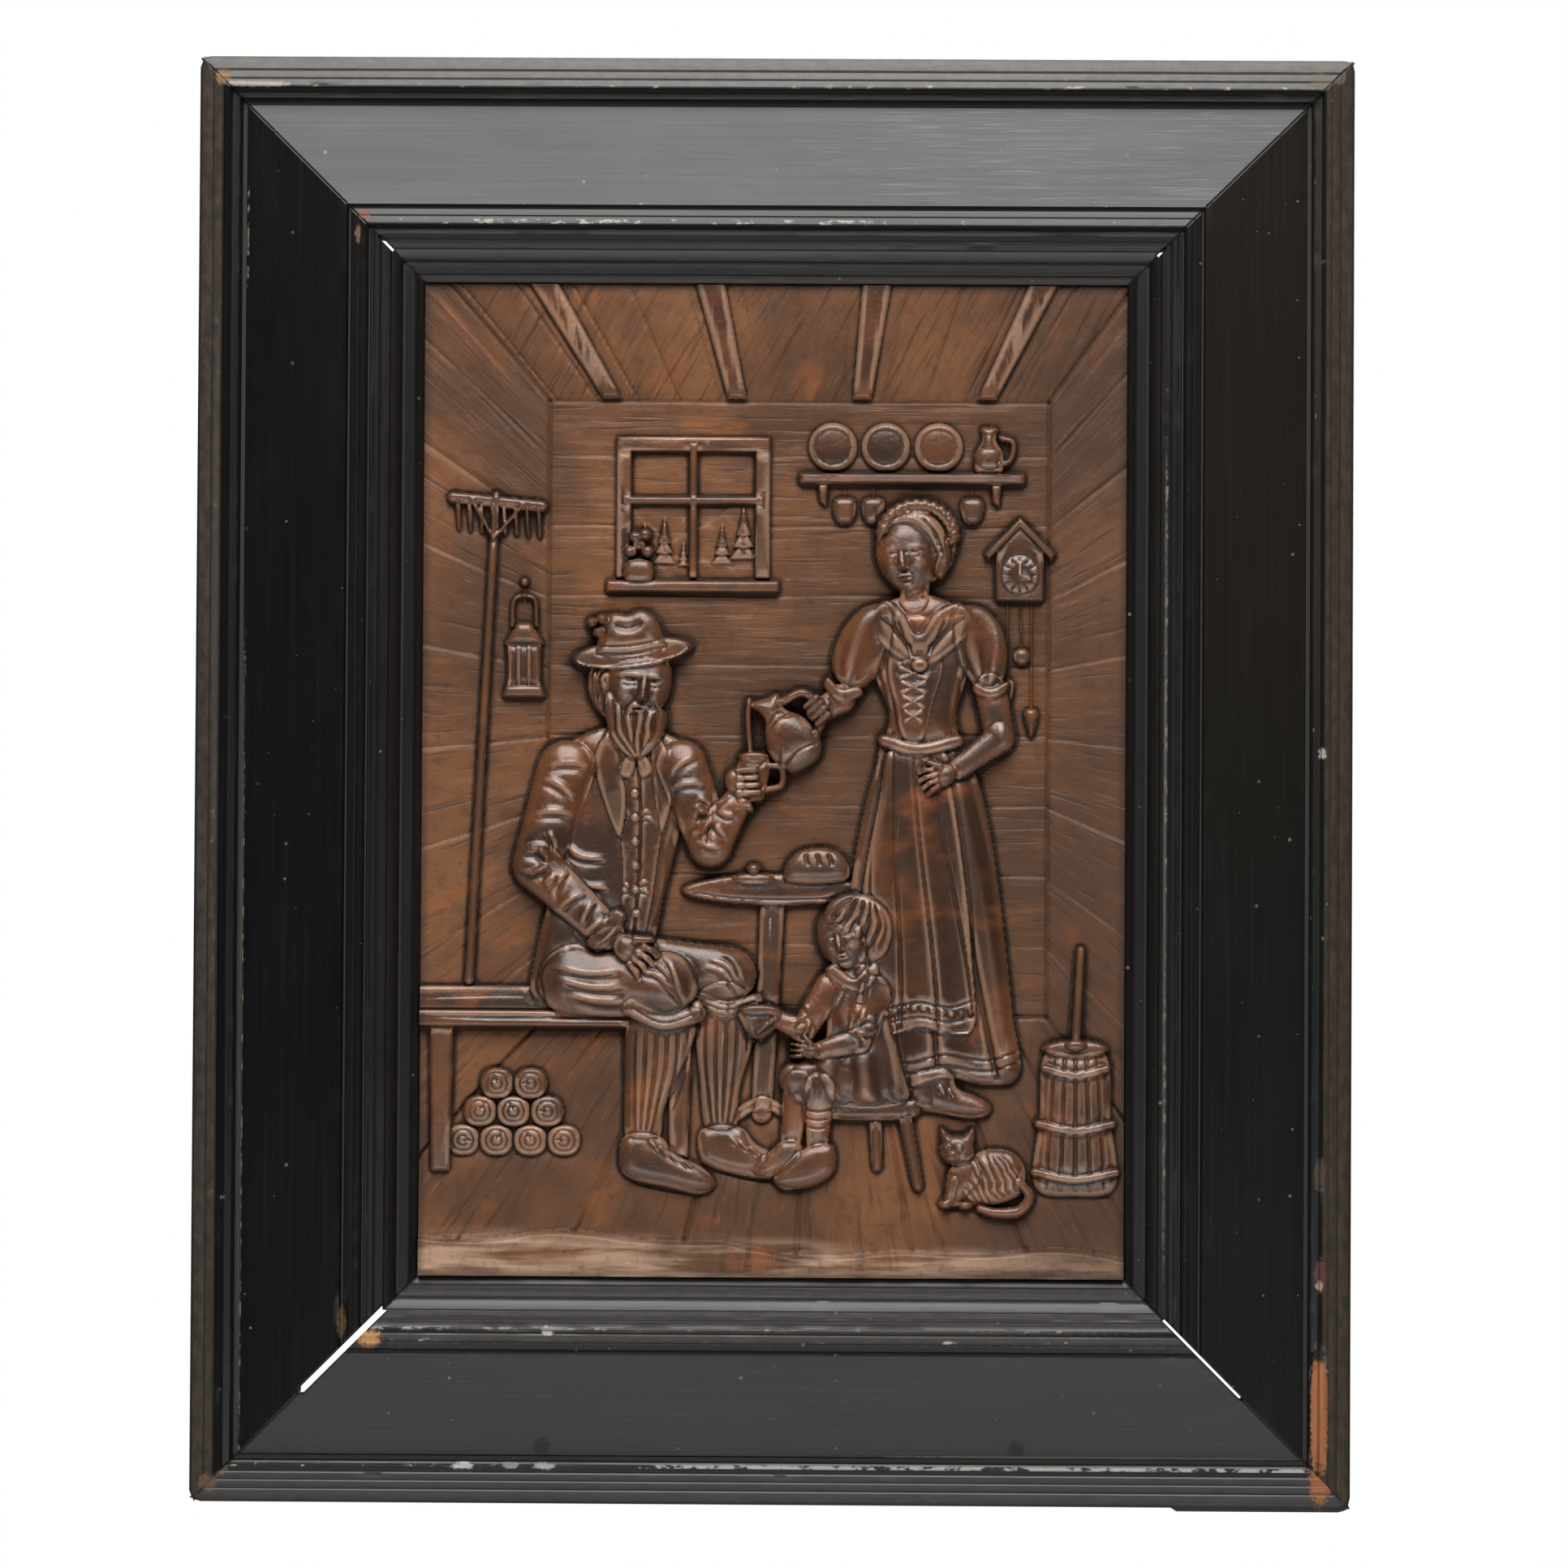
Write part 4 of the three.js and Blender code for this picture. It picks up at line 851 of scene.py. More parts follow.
def windowAndView(c):
    x, z, w, tall = -34, 112, 29, 28
    rows, cols, X, Z = c.part(x - w, x + w, z - tall, z + tall)
    far = np.abs(((X + 60) * 0.045) % 2 - 1) * 16 + 6 * noise(X, Z * 0, 9, 9, 42) + z - 12
    near = z - 17 + 4 * np.sin(X * 0.09 + 1)
    sky = -1.4 + 0.12 * noise(X, Z, 12, 2, 41)
    hill = sky + (0.7 + 0.3 * noise(X + Z, Z, 4, 9, 44)) * smooth(-1, 1, far - Z)
    c.h[rows, cols] = hill + (0.7 + 0.2 * noise(X, Z, 5, 3, 43)) * smooth(-0.6, 0.6, near - Z)
    for fx, fz, tree in ((-54, 92, 13), (-46, 90, 17), (-22, 90, 15), (-13, 92, 20), (-38, 89, 9)):
        for k in range(4):
            t = k / 4
            c.shape([(fx - tree * 0.3 * (1 - t), fz + tree * t), (fx + tree * 0.3 * (1 - t), fz + tree * t),
                     (fx, fz + tree * (t + 0.42))], 0.2 + 0.1 * k, 0.9, 1.4, cut=0.6, smoothly=False)
    b = 3.2
    for x0, x1, z0, z1 in ((-w - 3, b - w, -tall, tall), (w - b, w + 3, -tall, tall),
                           (-w - 3, w + 3, tall - b, tall + 3),
                           (-1.6, 1.6, -tall, tall), (-w, w, 3, 6)):
        c.slab(x + x0, x + x1, z + z0, z + z1, 1.6, 1.0, 1.4)
    c.slab(x - w - 7, x + w + 7, z - tall - 6, z - tall - 1, 3.6, 1.4, 1.8)      # sill
    c.shape([(-62, 83), (-61, 91), (-52, 91), (-51, 83)], 4.2, 2.2, 4)
    for k, (px, pz) in enumerate(((-60, 95), (-56.5, 98), (-53, 95), (-58, 101), (-54, 102))):
        c.ball(px, pz, 2.6, 2.4, 3.4 + 0.2 * k, 1.8, cut=0.8)


def shelf(c):
    for px in (24, 46, 68):
        c.ball(px, 139, 10.2, 10.2, 1.4, 1.6)
        c.ball(px, 139, 6.6, 6.6, 2.9, -1.0, cut=0)
        c.stroke(ring(px, 139, 8.4, 8.4), 0.6, 0.6, 1, fade=0)
    c.shape([(84, 128), (83, 136), (86, 142), (85.5, 147), (92.5, 147), (92, 142), (95, 136), (94, 128)],
            2.4, 3.2, 5)
    c.path([(94, 143), (99, 141), (98, 134), (94, 132)], 1.2, 2.6, 1.2)
    for pz in (131, 139, 145):
        c.stroke([(84, pz), (89, pz - 1), (94, pz)], 0.5, -0.6, 2, fade=0)
    c.slab(10, 104, 123.5, 128, 4.0, 1.6, 1.6)
    c.stroke([(12, 126.6), (102, 126.6)], 0.5, 0.5, 3, fade=0)
    for px in (20, 92):
        c.shape([(px - 2, 123.5), (px + 2, 123.5), (px + 1.5, 114), (px - 1.5, 116)], 2.6, 1.2, 1.4,
                smoothly=False)
    for px in (29, 41, 82):
        c.stroke([(px, 123), (px, 119)], 0.6, 0.9, None, fade=0)
        c.shape([(px - 4.4, 117), (px + 4.4, 117), (px + 3.4, 108), (px - 3.4, 108)], 2.2, 2.4, 3.5)


def clock(c):
    x, z = 103, 88
    c.shape([(x - 11, z - 13), (x + 9, z - 13), (x + 9, z + 8), (x - 1, z + 19), (x - 11, z + 8)], 3.4, 1.6,
            1.8, smoothly=False)
    c.shape([(x - 14, z + 4), (x - 1, z + 17.5), (x + 12, z + 4), (x + 14, z + 6.5), (x - 1, z + 22),
             (x - 16, z + 6.5)],
            4.8, 1.4, 1.4, smoothly=False)
    c.ball(x - 1, z - 2, 7.8, 7.8, 4.8, 0.9)
    for k in range(12):
        a = k * math.pi / 6
        c.stroke([(x - 1 + r * math.cos(a), z - 2 + r * math.sin(a)) for r in (5.4, 7)], 0.45, -0.6, 4,
                 fade=0)
    c.stroke([(x - 1, z - 2), (x - 1, z + 3.4)], 0.5, 0.7, 4, fade=0)
    c.stroke([(x - 1, z - 2), (x + 2.8, z - 3.6)], 0.5, 0.7, 4, fade=0)
    for px, low in ((x - 6, z - 46), (x + 4, z - 58)):
        c.stroke([(px, z - 13), (px, low)], 0.6, 1.1, None, fade=0)
        c.shape([(px - 2.4, low), (px + 2.4, low), (px + 2.6, low - 5), (px, low - 12),
                 (px - 2.6, low - 5)], 1.8, 2.6,
                2.6)
    c.stroke([(x - 1, z - 13), (x, z - 34)], 0.55, 1.0, None, fade=0)
    c.ball(x, z - 36, 3.6, 3.6, 2.0, 1.6)


def rakeAndLantern(c):
    c.limb(-126, -84, 1.9, 4.2, -116, 118, 1.7, 4.4, 0.8)
    c.limb(-134, 117, 2.4, 4.2, -97, 113.5, 2.4, 3.2, 0.8)
    for k in range(8):
        px = -132 + 4.8 * k
        c.limb(px, 115 - 0.45 * k, 1.0, 4.0, px + 0.6, 104 - 0.45 * k, 0.7, 3.4, 0.8)
    c.limb(-117, 100, 0.9, 4.0, -126, 116, 0.9, 4.0, 0.8)
    c.limb(-117, 100, 0.9, 4.0, -105, 114, 0.9, 3.4, 0.8)
    x, z = -104, 38
    c.path([(x - 5, z + 26), (x - 4, z + 37), (x + 4, z + 37), (x + 5, z + 26)], 0.9, 2.6, 1.0)
    c.stroke([(x, z + 36), (x, z + 44)], 0.7, 1.2, None, fade=0)
    c.ball(x, z + 44, 1.8, 1.8, 3.2, 1.8)
    c.shape([(x - 8.5, z + 18), (x + 8.5, z + 18), (x + 3, z + 27), (x - 3, z + 27)], 3.2, 2.4, 4,
            smoothly=False)
    c.shape([(x - 7, z), (x + 7, z), (x + 7.4, z + 18), (x - 7.4, z + 18)], 2.6, 2.2, 5, smoothly=False)
    for px in (-6.4, -2.2, 2.2, 6.4):
        c.stroke([(x + px, z + 1), (x + px, z + 17)], 0.6, 0.8, 2, fade=0)
    c.shape([(x - 9, z - 4), (x + 9, z - 4), (x + 7.5, z + 1), (x - 7.5, z + 1)], 3.4, 2.0, 2,
            smoothly=False)


def churn(c):
    x = 126
    staves = lambda a, b: -0.6 * bell((((a - x) / (1 + (-112 - b) * 0.007)) / 4.4 + 0.5) % 1 - 0.5, 0.14)
    c.shape([(x - 12, -112), (x + 12, -112), (x + 15, -140), (x + 17, -168), (x, -172), (x - 17, -168),
             (x - 15, -140)],
            4.6, 4.6, 14, texture=staves)
    for pz, w in ((-119, 13), (-142, 15.4), (-162, 17)):
        c.path([(x - w, pz), (x, pz - 3), (x + w, pz)], 1.7, 8.2, 1.2, cut=0.7)
    c.ball(x, -111, 13.6, 3.8, 7.4, 1.8)
    c.limb(x, -110, 2.0, 7.6, x + 2, -70, 1.7, 6.0, 0.8)
    c.ball(x, -109.5, 4.4, 2.4, 9.4, 1.4)


def carveScene(c):
    for part in (carveRoom, windowAndView, shelf, rakeAndLantern, clock, table, benchAndLogs,
                 standingWoman, seatedMan, churn, sittingChild):
        part(c)
    sittingCat(c, 90, -166, 0.86)


# The relief's body: the carved heights on a fine grid, with its plate behind

relief = {"half": (146.2, 206.2), "plate": (152.2, 212.2), "ground": 11.2, "back": 3.0,
          "centreZ": -256.0, "step": 0.5, "quickStep": 0.9, "triangles": 188000, "crease": 62}


def sample(field, carving, x, z):      # a field's value at any place on the panel
    gx = np.clip((x - carving.xs[0]) / carving.gap, 0, carving.nx - 1.001)
    gz = np.clip((z - carving.zs[0]) / carving.gap, 0, carving.nz - 1.001)
    i, j = gx.astype(int), gz.astype(int)
    fx, fz = gx - i, gz - j
    low = field[j, i] * (1 - fx) + field[j, i + 1] * fx
    high = field[j + 1, i] * (1 - fx) + field[j + 1, i + 1] * fx
    return low * (1 - fz) + high * fz


def blurred(field, reach):      # a soft copy, by running means both ways, twice
    width = max(int(round(reach)), 1)
    soft = field
    for _ in range(2):
        for axis in (0, 1):
            pad = [(0, 0), (0, 0)]
            pad[axis] = (width + 1, width)
            run = np.cumsum(np.pad(soft, pad, mode="edge"), axis=axis)
            high = np.take(run, range(2 * width + 1, run.shape[axis]), axis=axis)
            low = np.take(run, range(0, run.shape[axis] - 2 * width - 1), axis=axis)
            soft = (high - low) / (2 * width + 1)
    return soft


def places(mesh):
    flat = np.empty(len(mesh.vertices) * 3, np.float32)
    mesh.vertices.foreach_get("co", flat)
    return flat.reshape(-1, 3).astype(float)


def mark(mesh, name, values):      # an attribute for the materials to read
    mesh.attributes.new(name, "FLOAT", "POINT").data.foreach_set("value", values.astype(np.float32))


def layOut(mesh, name, spots):      # a UV map from a place in millimetres for each vertex
    corners = np.empty(len(mesh.loops), np.int32)
    mesh.loops.foreach_get("vertex_index", corners)
    mesh.uv_layers.new(name=name).data.foreach_set("uv", (spots[corners] / 1000).astype(np.float32).ravel())


def finishMesh(mesh, at, centreZ, crease):      # from millimetres round the middle to the frame's own place
    at[:, 2] += centreZ
    mesh.vertices.foreach_set("co", (at / 1000).astype(np.float32).ravel())
    mesh.shade_smooth()
    mesh.set_sharp_from_angle(angle=math.radians(crease))
    mesh.update()


def reliefBody(carving):
    s = relief
    bm = bmesh.new()
    bmesh.ops.create_grid(bm, x_segments=carving.nx - 1, y_segments=carving.nz - 1, size=1.0,
                          matrix=(Matrix.Rotation(math.radians(90), 4, "X")
                                  @ Matrix.Diagonal((*s["half"], 1, 1))))
    front = len(bm.verts)
    grow = (s["plate"][0] / s["half"][0], s["plate"][1] / s["half"][1])
    rim = [edge for edge in bm.edges if edge.is_boundary]
    for scaleX, scaleZ, depth in ((1, 1, s["ground"]), (*grow, s["ground"]), (1, 1, s["back"])):
        grown = bmesh.ops.extrude_edge_only(bm, edges=rim)["geom"]
        for item in grown:
            if isinstance(item, bmesh.types.BMVert):
                item.co = Vector((item.co.x * scaleX, -depth, item.co.z * scaleZ))
        rim = [item for item in grown if isinstance(item, bmesh.types.BMEdge)]
    bmesh.ops.edgeloop_fill(bm, edges=rim)
    bmesh.ops.recalc_face_normals(bm, faces=bm.faces)
    made = toObject(bm, "relief_casting")
    at = places(made.data)
    at[:front, 1] = -s["ground"] - sample(carving.h, carving, at[:front, 0], at[:front, 2])
    made.data.vertices.foreach_set("co", at.astype(np.float32).ravel())
    made.data.update()
    return made


def thinned(made, triangles):      # fewer triangles where the surface is plain
    count = sum(len(face.vertices) - 2 for face in made.data.polygons)
    fewer = made.modifiers.new("fewer", "DECIMATE")
    fewer.ratio = min(1.0, triangles / count)
    graph = bpy.context.evaluated_depsgraph_get()
    mesh = bpy.data.meshes.new_from_object(made.evaluated_get(graph))
    made.modifiers.remove(fewer)
    made.data = mesh
    return made


def makeRelief():
    s = relief
    carving = Carving(*s["half"], s["step"])
    carveScene(carving)
    print("relief carved", carving.h.shape)
    made = thinned(reliefBody(carving), s["triangles"])
    mesh = made.data
    at = places(mesh)
    x, z = at[:, 0], at[:, 2]
    small, large = blurred(carving.h, 1.1 / carving.gap), blurred(carving.h, 3.2 / carving.gap)
    # fields for the material: depth in a hollow, for painted shade, and height on a crest or proud part,
    # for painted highlights
    fields = {"hollowShade": np.clip(small - carving.h, 0, 2) * 0.8 + np.clip(large - carving.h, 0, 4) * 0.15,
              "crestHighlight": np.clip(carving.h - small, 0, 0.5) * 2 * smooth(1.5, 0.6, carving.h - large),
              "proudHighlight": np.clip(carving.h - large, 0, 3) / 3,
              "figure": carving.figure, "front": np.ones(carving.h.shape)}
    front = at[:, 1] < -(s["ground"] + s["back"]) / 2
    for name, field in fields.items():
        mark(mesh, name, sample(field, carving, x, z) * front)
    layOut(mesh, "grain", np.stack([sample(carving.along, carving, x, z),
                                    sample(carving.across, carving, x, z)], 1))
    finishMesh(mesh, at, s["centreZ"], s["crease"])
    print("relief made", len(mesh.polygons))
    return made


# The frame's four rails, each one length of the same moulding, mitred at both ends

moulding = {"frame": (480.0, 600.0), "centreZ": -256.0, "segment": 2.4, "bevel": (0.9, 0.45), "reach": 14.0,
            "repair": (-168.0, 1.5), "corner": (4.5, 2.6), "crease": 28}
# where a mitre has opened: from and to across, how far each rail stands back, and how much more behind
gaps = {
    "topLeft": (74.6, 80.6, 0.7, 1.0), "topRight": (78.0, 81.4, 0.7, 1.2),
    "bottomLeft": (44.4, 79.6, 1.9, 0.4), "bottomRight": (44.4, 77.2, 0.72, 0.15),
}


def levelPoints(start, end, steps):      # a straight face, in even strips
    return [(start[0] + (end[0] - start[0]) * i / steps, start[1] + (end[1] - start[1]) * i / steps)
            for i in range(steps + 1)]


def railSection():      # distance from the outer edge, and height above the wall
    return [
        *levelPoints((0, 0), (0, 21.8), 6),
        # three low reeds
        (0.3, 22.7), (1.1, 23.1), (2.4, 23.5), (3.8, 23.88), (5.1, 24.15), (5.7, 23.8), (6.1, 24.0),
        (7.4, 24.4), (8.8, 24.7), (9.4, 24.4), (9.8, 24.6), (11.0, 24.95), (12.2, 25.25), (12.8, 24.9),
        # step down to a groove
        (13.2, 21.0), (13.7, 20.4), *levelPoints((14.2, 20.35), (16.2, 20.3), 2), (16.9, 19.9),
        (17.3, 19.0), (17.7, 16.9),
        # broad sloping face
        (19.3, 16.7), (19.8, 17.3), *levelPoints((20.8, 17.6), (40.8, 22.6), 6),
        *levelPoints((43.4, 23.25), (59.4, 27.3), 6), (60.6, 27.62), (61.8, 27.95), (62.3, 27.4),
        # two low reeds
        (62.7, 26.2), (63.4, 26.2), (63.8, 26.7), (65.0, 27.05), (66.2, 27.35), (66.6, 27.05),
        (67.0, 27.3), (68.3, 27.65), (69.6, 27.95), (70.2, 27.5), (70.6, 26.2), (70.9, 24.6),
        # slope inward to the sight edge
        (71.5, 24.6), (71.9, 25.0), (72.7, 25.0), (73.4, 24.6), (75.2, 24.4), (75.8, 23.9), (76.4, 23.3),
        (77.6, 23.1), (79.6, 22.6), (80.2, 21.9), (81.4, 21.5), (83.4, 20.7), (84.4, 20.0), (85.0, 18.9),
        (85.8, 18.6), (88.6, 18.3), (89.6, 18.1), (90.2, 17.2), (90.9, 16.7), (92.2, 16.2), (93.1, 15.7),
        # rebate and back
        (93.5, 15.0), (93.5, 11.5), (87.5, 11.5), (87.5, 0), *levelPoints((80, 0), (8, 0), 5),
    ]


rails = {
    "top": {"turn": 0, "ends": ("topLeft", "topRight"), "seed": 3, "rounded": 0.3},
    "right": {"turn": 90, "ends": ("topRight", "bottomRight"), "seed": 5, "rounded": 0.4},
    "bottom": {"turn": 180, "ends": ("bottomRight", "bottomLeft"), "seed": 8, "rounded": 0.6},
    "left": {"turn": -90, "ends": ("bottomLeft", "topLeft"), "seed": 13, "rounded": 0.7},
}


def halves(side):      # half a rail's length, and how far its outer edge is from the frame's middle
    width, height = (size / 2 for size in moulding["frame"])
    return (width, height) if side in ("top", "bottom") else (height, width)


losses = {      # bits gone from a rail: place along and across, half length, half width, depth
    "top": [],
    "right": [(261, 12.8, 24, 3.4, 0.9), (238, 12.6, 3, 2.6, 0.6)],
    "bottom": [(165, 65, 6, 3, 0.7)],
    "left": [(-222, 63.5, 7, 2.0, 0.6)],
}


def dents(x, u, seed):      # small losses and softening along the raised edges
    lost = np.zeros(x.shape)
    for edge, width, depth in ((4.6, 1.6, 0.2), (12.0, 1.0, 0.3), (16.2, 1.2, 0.45), (20.4, 0.8, 0.3),
                               (61.4, 1.0, 0.25), (68.8, 1.8, 0.4), (72.5, 1.0, 0.25), (77.6, 1.2, 0.25),
                               (83.4, 1.2, 0.25), (91.8, 1.0, 0.2)):
        here = noise(x, u * 0 + edge * 7.3, 5.5, 9, seed) * 0.5
        here = here + noise(x, u * 0 + edge * 3.1, 17, 9, seed + 1) * 0.6
        lost += depth * bell(u - edge, width) * smooth(0.15, 0.75, here)
    return lost


def makeRail(side):
    s, m = rails[side], moulding
    half, far = halves(side)
    bm = bmesh.new()
    outline = bm.faces.new([bm.verts.new((-half, -h, far - u)) for u, h in railSection()])
    grown = bmesh.ops.extrude_face_region(bm, geom=[outline])["geom"]
    bmesh.ops.translate(bm, verts=[v for v in grown if isinstance(v, bmesh.types.BMVert)],
                        vec=(2 * half, 0, 0))
    lengths = [edge for edge in bm.edges if abs(edge.verts[0].co.x - edge.verts[1].co.x) > 1]
    bmesh.ops.subdivide_edges(bm, edges=lengths, cuts=int(2 * half / m["segment"]), use_grid_fill=True)
    for end in (-1, 1):
        for inset, clear in ((0.0, True), (m["bevel"][0], False)):
            cut = bmesh.ops.bisect_plane(bm, geom=[*bm.verts, *bm.edges, *bm.faces], dist=0.0001,
                                         clear_outer=clear,
                                         plane_co=(end * (half - inset), 0, far), plane_no=(end, 0, -1))
            if clear:
                edges = [item for item in cut["geom_cut"] if isinstance(item, bmesh.types.BMEdge)]
                bmesh.ops.edgeloop_fill(bm, edges=edges)
    # clean ends for the gaps
    for edge in sorted({place for corner in s["ends"] for place in gaps[corner][:2]}):
        for nudge in (-0.1, 0.1):
            bmesh.ops.bisect_plane(bm, geom=[*bm.verts, *bm.edges, *bm.faces], dist=0.0001,
                                   plane_co=(0, 0, far - edge - nudge), plane_no=(0, 0, 1))
    bmesh.ops.recalc_face_normals(bm, faces=bm.faces)
    made = toObject(bm, "rail_" + side)
    mesh = made.data
    at = places(mesh)
    x, u, h = at[:, 0].copy(), far - at[:, 2], -at[:, 1]
    face = np.stack([x, u], axis=1)
    front = smooth(11, 14, h) * smooth(-0.01, 0.3, u) * smooth(93.6, 93.3, u)
    toMitre = half - u - np.abs(x)
    at[:, 1] += front * (dents(x, u, s["seed"]) + 0.12 * noise(x, u, 60, 22, s["seed"] + 2))
    at[:, 1] += front * m["bevel"][1] * (toMitre < 0.05)
    for a, b, reach, wide, depth in losses[side]:
        at[:, 1] += front * depth * smooth(1.5, 0.8, ((x - a) / reach) ** 4 + ((u - b) / wide) ** 4)
    for end, corner in ((-1, s["ends"][0]), (1, s["ends"][1])):
        start, stop, back, more = gaps[corner]
        opened = (u > start) * (u < stop) * (x * end > 0) * smooth(m["reach"], 0, toMitre)
        at[:, 0] -= end * opened * (back + more * smooth(24, 8, h))
    if side == "bottom":      # an old repair stands proud of the edge at one end
        at[:, 2] += m["repair"][1] * (u < 0.3) * (x < m["repair"][0])
    reach, lost = m["corner"]      # the worn outer corners
    at[:, 2] -= lost * smooth(reach, 0, np.hypot(toMitre, u)) * (u < 3) * s["rounded"]
    mark(mesh, "front", smooth(10, 13, h))
    layOut(mesh, "moulding", face)
    turn = Matrix.Rotation(math.radians(s["turn"]), 3, "Y")
    finishMesh(mesh, at @ np.array(turn).T, m["centreZ"], m["crease"])
    print("rail made", side, len(mesh.polygons))
    return made


# Finishes

# where every rail is painted dark in its grooves and steps, as painted shade, and how wide
grooves = ((5.9, 0.5), (9.5, 0.4), (13.35, 0.75), (18.5, 1.9), (63.0, 1.0), (66.6, 0.5), (71.0, 0.9),
           (75.9, 0.6), (85.2, 0.9), (90.0, 0.7))


def blackWood(side, wear):      # ebonised wood: black, browner on its rims, rubbed through along its edges, with painted shade in its grooves and painted sheen on two edges of the bottom rail
    f = Finish("black_wood_" + side)
    uv = f.node("ShaderNodeUVMap", {"uv_map": "moulding"})
    split = f.node("ShaderNodeSeparateXYZ", values={0: uv}).socket.node
    along = Signal(f, split.outputs[0]) * 1000
    across = Signal(f, split.outputs[1]) * 1000
    front = f.node("ShaderNodeAttribute", {"attribute_name": "front"}, out="Fac")
    seed = f.node("ShaderNodeVectorMath", {"operation": "ADD"}, {0: uv, 1: (wear["seed"], 0, 0)})
    brush = f.noise(f.stretch(seed, 9, 420, 1), 1.0, 3, 0.6)
    streaks = f.noise(f.stretch(seed, 26, 900, 1), 1.0, 3, 0.7)
    drift = f.noise(f.stretch(seed, 14, 40, 1), 1.0, 3, 0.55)
    fine = f.noise(f.stretch(seed, 60, 1500, 1), 1.0, 2, 0.6)
    patches = f.noise(f.stretch(seed, 170, 300, 1), 1.0, 2, 0.6)
    sparse = f.noise(f.stretch(seed, 22, 60, 1), 1.0, 3, 0.6)
    ragged = f.noise(seed, 520, 4, 0.7) - 0.5
    face = f.mix((along + drift * 80 - 40).step(-90, 60), rgb(*wear["faceStart"]), rgb(*wear["faceEnd"]))
    base = f.mix(brush.step(0.55, 0.8) * 0.4, face, rgb(26, 24, 21))
    inner = f.mix(patches.step(0.35, 0.7), rgb(*wear["inner"]), rgb(*wear["innerRed"]))
    base = f.mix(across.step(62, 64.5) * (0.55 + brush * 0.5), base, inner)
    rim = f.mix(patches.step(0.3, 0.7), rgb(*wear["rim"]), rgb(*wear["rimLight"]))
    base = f.mix((1 - across.step(wear["rimTo"] - 0.5, wear["rimTo"])) * (0.6 + brush * 0.4) * front, base,
                 rim)
    # pale rubbed edges are wear; on the bottom rail the edge at 15.4 across also stands for a painted
    # reflection
    rubAndSheen = 0
    for edge, width, amount, start, end in wear["edges"]:
        line = across.near(edge, width)
        more = along.step(start - 8, start + 8) * (1 - along.step(end - 8, end + 8)) * amount
        rubAndSheen = (line.step(0.05, 0.5) * (patches * 0.75 + sparse * 0.25 + more).step(0.6, 0.7)).most(rubAndSheen)
    rubAndSheen = rubAndSheen * front
    base = f.mix(rubAndSheen * 0.8, base, rgb(*wear["rubbed"]))
    streaked = streaks.step(0.5, 0.72) * along.step(wear["streaks"], wear["streaks"] + 110)
    streaked = streaked * across.step(19, 22)
    streaked = streaked * (1 - across.step(58, 62))
    base = f.mix(streaked * 0.6, base, rgb(84, 82, 80))
    # darkened along the outer edge, painted shade in the grooves and steps, and dark at the mitre joints
    shadeAndJoints = across.near(0.7, 0.8) * wear["outline"]
    for edge, width in grooves:
        shadeAndJoints = across.near(edge, width).most(shadeAndJoints)
    toMitre = halves(side)[0] - across - abs(along)
    shadeAndJoints = shadeAndJoints.most(1 - toMitre.step(0.25, 0.9)) * front
    base = f.mix(shadeAndJoints.step(0.1, 0.7) * 0.92, base, rgb(5, 4, 4))
    # worn, bare and dark spots, and on the bottom rail a painted highlight strip along the face's edge
    spotsAndSheen = 0
    for a, b, reach, wide, colour, amount in wear["spots"]:
        power = 4 if reach > 12 else 2
        inside = abs((along - a) / reach) ** power + abs((across - b) / wide) ** power + ragged * 4.0
        spot = (1 - inside.step(0.3, 1.4)) * amount * front
        base = f.mix(spot, base, f.mix(brush.step(0.35, 0.65), rgb(*colour),
                                       rgb(*(v * 0.78 for v in colour))))
        spotsAndSheen = spot.most(spotsAndSheen)
    cells = f.node("ShaderNodeTexVoronoi", {"voronoi_dimensions": "2D"}, {"Vector": seed, "Scale": 75.0},
                   "Distance")
    chance = f.node("ShaderNodeSeparateColor", values={0: Signal(f, cells.socket.node.outputs["Color"])})
    size = Signal(f, chance.socket.node.outputs[1]) ** 3 * 0.045 + 0.016
    dust = (1 - (cells / size).step(0.5, 1.4)) * (chance > wear["dust"]) * front
    base = f.mix(dust * sparse.step(0.35, 0.6) * 0.55, base, rgb(132, 126, 118))
    rough = wear["rough"] - across.step(70, 73) * wear["smoother"] + drift * 0.08 + brush * 0.08
    rough = rough + rubAndSheen * 0.25 + spotsAndSheen * 0.3 - streaked * 0.04 + shadeAndJoints * 0.35
    bump = f.bump(brush * 0.5 + fine * 0.25 + streaked * 0.12 + ragged * spotsAndSheen, 0.35, 0.0004)
    return f.set(Base_Color=base, Roughness=rough, Normal=bump)
